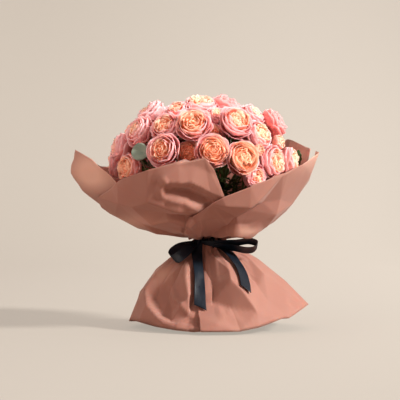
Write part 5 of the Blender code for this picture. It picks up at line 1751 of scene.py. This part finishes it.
class BloomSettings(bpy.types.PropertyGroup):
    """Sizes and colours of the roses and buds."""

    petal_thickness: number_setting("Petal thickness", "Thickness of a petal, in millimetres", 0.6, 0.2, 1.2)
    openness: number_setting(
        "Openness", "How far the guard petals have opened", 1.0, 0.0, 1.0, subtype="FACTOR",
    )
    # Coral low on the outer petals: partly their own colour, partly painted shade
    petal_shade: colour_setting("Petal foot", "Colour low on the outer petals", (0.86, 0.27, 0.25))
    petal_pink: colour_setting("Petal face", "Colour of the outer petals", (0.86, 0.48, 0.49))
    petal_rim: colour_setting("Petal rim", "Colour at the outer petals' rims", (0.84, 0.58, 0.61))
    # Painted shade deep between the inner petals
    heart_shade: colour_setting("Heart depth", "Colour deep between the inner petals", (0.84, 0.34, 0.19))
    heart_apricot: colour_setting("Heart face", "Colour of the inner petals", (0.86, 0.54, 0.39))
    heart_rim: colour_setting("Heart rim", "Colour at the inner petals' rims", (0.86, 0.66, 0.53))


class GreenSettings(bpy.types.PropertyGroup):
    """Colours of the stems, leaves and eucalyptus."""

    leaf_dark: colour_setting("Dark leaf", "Colour of the older leaves", (0.025, 0.055, 0.022))
    leaf_light: colour_setting("Light leaf", "Colour of the younger leaves", (0.075, 0.14, 0.035))
    leaf_vein: colour_setting("Leaf vein", "Colour of the veins", (0.14, 0.22, 0.08))
    stem_foot: colour_setting("Stem foot", "Colour of the stems low down", (0.10, 0.15, 0.05))
    stem_top: colour_setting("Stem top", "Colour of the flower stalks", (0.14, 0.22, 0.07))
    eucalyptus_dark: colour_setting(
        "Eucalyptus shade", "Darker colour of the round leaves", (0.22, 0.31, 0.25),
    )
    eucalyptus_light: colour_setting("Eucalyptus wax", "Waxy colour of the round leaves", (0.42, 0.50, 0.42))


class WrapSettings(bpy.types.PropertyGroup):
    """Folds and colours of the paper."""

    fold_amount: number_setting("Folds", "Depth of the paper's folds", 1.0, 0.0, 1.2, subtype="FACTOR")
    paper_shade: colour_setting("Paper shade", "Darker colour of the paper", (0.41, 0.193, 0.152))
    paper_colour: colour_setting("Paper", "Main colour of the paper", (0.46, 0.244, 0.194))
    # Paler colour of the creases: wear with a painted highlight
    paper_crease_worn_and_lit: colour_setting("Creases", "Colour of the worn creases", (0.53, 0.295, 0.23))
    # Colour of the painted light where light would come through the paper
    painted_light_colour: colour_setting(
        "Lit through", "Colour where light comes through the paper", (0.92, 0.60, 0.48),
    )


class RibbonSettings(bpy.types.PropertyGroup):
    """Width and colours of the ribbon."""

    ribbon_width: number_setting(
        "Ribbon width", "Width of the ribbon, in millimetres", RIBBON_WIDTH, 20.0, 25.0,
    )
    satin_dark: colour_setting("Satin shade", "Darker colour of the ribbon", (0.008, 0.012, 0.020))
    satin_light: colour_setting("Satin", "Main colour of the ribbon", (0.012, 0.024, 0.040))


class StageSettings(bpy.types.PropertyGroup):
    """Camera lens, lights and floor."""

    lens: number_setting("Lens", "Focal length of the camera", 114.5, 20.0, 300.0, unit="CAMERA")
    key_strength: number_setting("Key light", "Strength of the main light", 3.6, 0.0, 20.0)
    key_softness: number_setting(
        "Key softness", "How wide the main light is", 0.18, 0.0, 1.5, subtype="ANGLE",
    )
    fill_power: number_setting(
        "Fill light", "Power of the light from the left", 9.0, 0.0, 2000.0, unit="POWER",
    )
    sky_strength: number_setting("Sky", "Strength of the even light from all round", 0.55, 0.0, 5.0)
    floor_lift: number_setting("Backdrop lift", "Brightness added to the floor and backdrop", 0.55, 0.0, 2.0)
    floor_colour: colour_setting("Floor", "Colour of the floor and backdrop", (0.405, 0.370, 0.326))


SETTINGS = (
    ("rose_blooms", BloomSettings),
    ("rose_greens", GreenSettings),
    ("rose_wrap", WrapSettings),
    ("rose_ribbon", RibbonSettings),
    ("rose_stage", StageSettings),
)


# Operators


def spray_plan():
    """Number, ring radius, waist azimuth and heads of each spray, and the sprig's waist azimuth."""
    rings = {OUTER_RING_RADIUS: [(SPRIG_AZIMUTH, 0, None)], MIDDLE_RING_RADIUS: []}
    rows = []
    for number, (ring, heads) in enumerate(group_heads(place_heads()), 1):
        if ring == 0:
            rows.append((number, ring, 0.0, heads))
            continue
        reach = sum(level_direction(head.azimuth()) for head in heads)
        rings[ring].append((math.degrees(math.atan2(reach[0], -reach[1])), number, heads))
    outer, middle = (sorted(members, key=lambda member: member[0]) for members in rings.values())
    outer_start = outer[0][0] - OUTER_LAG
    spacing = 360.0 / len(outer)
    middle_start = outer_start + round((middle[0][0] - MIDDLE_LAG - outer_start) / spacing) * spacing
    for ring, start, members in (
        (OUTER_RING_RADIUS, outer_start, outer), (MIDDLE_RING_RADIUS, middle_start, middle),
    ):
        for place, (_, number, heads) in enumerate(members):
            azimuth = start + 360.0 * place / len(members)
            if heads is None:
                sprig_azimuth = azimuth
            else:
                rows.append((number, ring, azimuth, heads))
    return rows, sprig_azimuth


class ROSES_OT_blooms(bpy.types.Operator):
    """Makes the petals of every rose and bud in place of its solid"""

    bl_idname = "roses.blooms"
    bl_label = "Blooms"

    def execute(self, context):
        settings = context.scene.rose_blooms
        look = petal_look(settings)
        for number, head in enumerate(place_heads()):
            piece = bloom(head, number, settings.petal_thickness, settings.openness, look)
            attach(piece, "petals", head.name)
        return {"FINISHED"}


class ROSES_OT_sprays(bpy.types.Operator):
    """Makes the stems with their hips, sepals and leaves in place of their solids"""

    bl_idname = "roses.sprays"
    bl_label = "Stems and leaves"

    def execute(self, context):
        look = green_look(context.scene.rose_greens)
        for number, ring, waist_azimuth, heads in spray_plan()[0]:
            piece = spray(number, ring, waist_azimuth, heads, look)
            attach(piece, "stems_and_leaves", f"spray_{number:02d}")
        return {"FINISHED"}


class ROSES_OT_eucalyptus(bpy.types.Operator):
    """Makes the sprig of round leaves in place of its solid"""

    bl_idname = "roses.eucalyptus"
    bl_label = "Eucalyptus"

    def execute(self, context):
        piece = eucalyptus(spray_plan()[1], eucalyptus_look(context.scene.rose_greens))
        attach(piece, "eucalyptus", "eucalyptus_sprig")
        return {"FINISHED"}


class ROSES_OT_wrap(bpy.types.Operator):
    """Makes the three folded paper sheets in place of their solids"""

    bl_idname = "roses.wrap"
    bl_label = "Paper wrap"

    def execute(self, context):
        settings = context.scene.rose_wrap
        look = paper_look(settings)
        for row in SHEETS:
            piece = paper_sheet(row[0], settings.fold_amount, look)
            attach(piece, "wrap_paper", row[0])
        return {"FINISHED"}


class ROSES_OT_ribbon(bpy.types.Operator):
    """Makes the satin bow in place of its solid"""

    bl_idname = "roses.ribbon"
    bl_label = "Ribbon bow"

    def execute(self, context):
        settings = context.scene.rose_ribbon
        piece = ribbon_bow(settings.ribbon_width, satin_look(settings))
        attach(piece, "ribbon_satin", "ribbon_bow")
        return {"FINISHED"}


class ROSES_OT_twine(bpy.types.Operator):
    """Makes the binding twine in place of its solid"""

    bl_idname = "roses.twine"
    bl_label = "Binding twine"

    def execute(self, context):
        attach(twine(twine_look()), "twine", "binding_twine")
        return {"FINISHED"}


class ROSES_OT_stage(bpy.types.Operator):
    """Makes the floor, the lights and the camera"""

    bl_idname = "roses.stage"
    bl_label = "Stage"

    def execute(self, context):
        scene = context.scene
        settings = scene.rose_stage
        sweep_floor(floor_look(settings))
        key = bpy.data.lights.new("key_light", "SUN")
        key.energy = settings.key_strength
        key.angle = settings.key_softness
        link_light(key, KEY_COLOUR, Vector(KEY_FROM).to_track_quat("Z", "Y"))
        fill = bpy.data.lights.new("fill_light", "AREA")
        fill.energy = settings.fill_power
        fill.size = FILL_SIZE
        to_middle = Vector(FILL_TARGET) - Vector(FILL_PLACE)
        link_light(fill, FILL_COLOUR, to_middle.to_track_quat("-Z", "Y"), FILL_PLACE)
        camera = bpy.data.objects.new("camera", bpy.data.cameras.new("camera"))
        camera.location = CAMERA_PLACE
        camera.rotation_euler = (math.pi / 2, 0, 0)
        camera.data.sensor_width = SENSOR_WIDTH
        camera.data.lens = settings.lens
        scene.collection.objects.link(camera)
        scene.camera = camera
        world = bpy.data.worlds.new("studio")
        world.use_nodes = True
        sky = world.node_tree.nodes["Background"]
        sky.inputs["Color"].default_value = SKY_COLOUR
        sky.inputs["Strength"].default_value = settings.sky_strength
        scene.world = world
        scene.view_settings.view_transform = "Standard"
        scene.view_settings.look = "Medium High Contrast"
        return {"FINISHED"}


OPERATORS = (
    ROSES_OT_stage, ROSES_OT_blooms, ROSES_OT_sprays, ROSES_OT_eucalyptus, ROSES_OT_wrap, ROSES_OT_ribbon,
    ROSES_OT_twine,
)


class ROSES_PT_panel(bpy.types.Panel):
    """Lists the settings and the operators in the sidebar"""

    bl_idname = "ROSES_PT_panel"
    bl_label = "Bunch of roses"
    bl_space_type = "VIEW_3D"
    bl_region_type = "UI"
    bl_category = "Roses"

    def draw(self, context):
        for label, kind in SETTINGS:
            box = self.layout.box()
            for name in kind.__annotations__:
                box.prop(getattr(context.scene, label), name)
        for operator in OPERATORS:
            self.layout.operator(operator.bl_idname)


def register():
    for _, kind in SETTINGS:
        bpy.utils.register_class(kind)
    for kind in (*OPERATORS, ROSES_PT_panel):
        bpy.utils.register_class(kind)
    for label, kind in SETTINGS:
        setattr(bpy.types.Scene, label, bpy.props.PointerProperty(type=kind))


def unregister():
    for label, _ in SETTINGS:
        delattr(bpy.types.Scene, label)
    for kind in (ROSES_PT_panel, *reversed(OPERATORS)):
        bpy.utils.unregister_class(kind)
    for _, kind in reversed(SETTINGS):
        bpy.utils.unregister_class(kind)


def main():
    register()
    for operator in OPERATORS:
        section, name = operator.bl_idname.split(".")
        getattr(getattr(bpy.ops, section), name)()


if __name__ == "__main__":
    main()
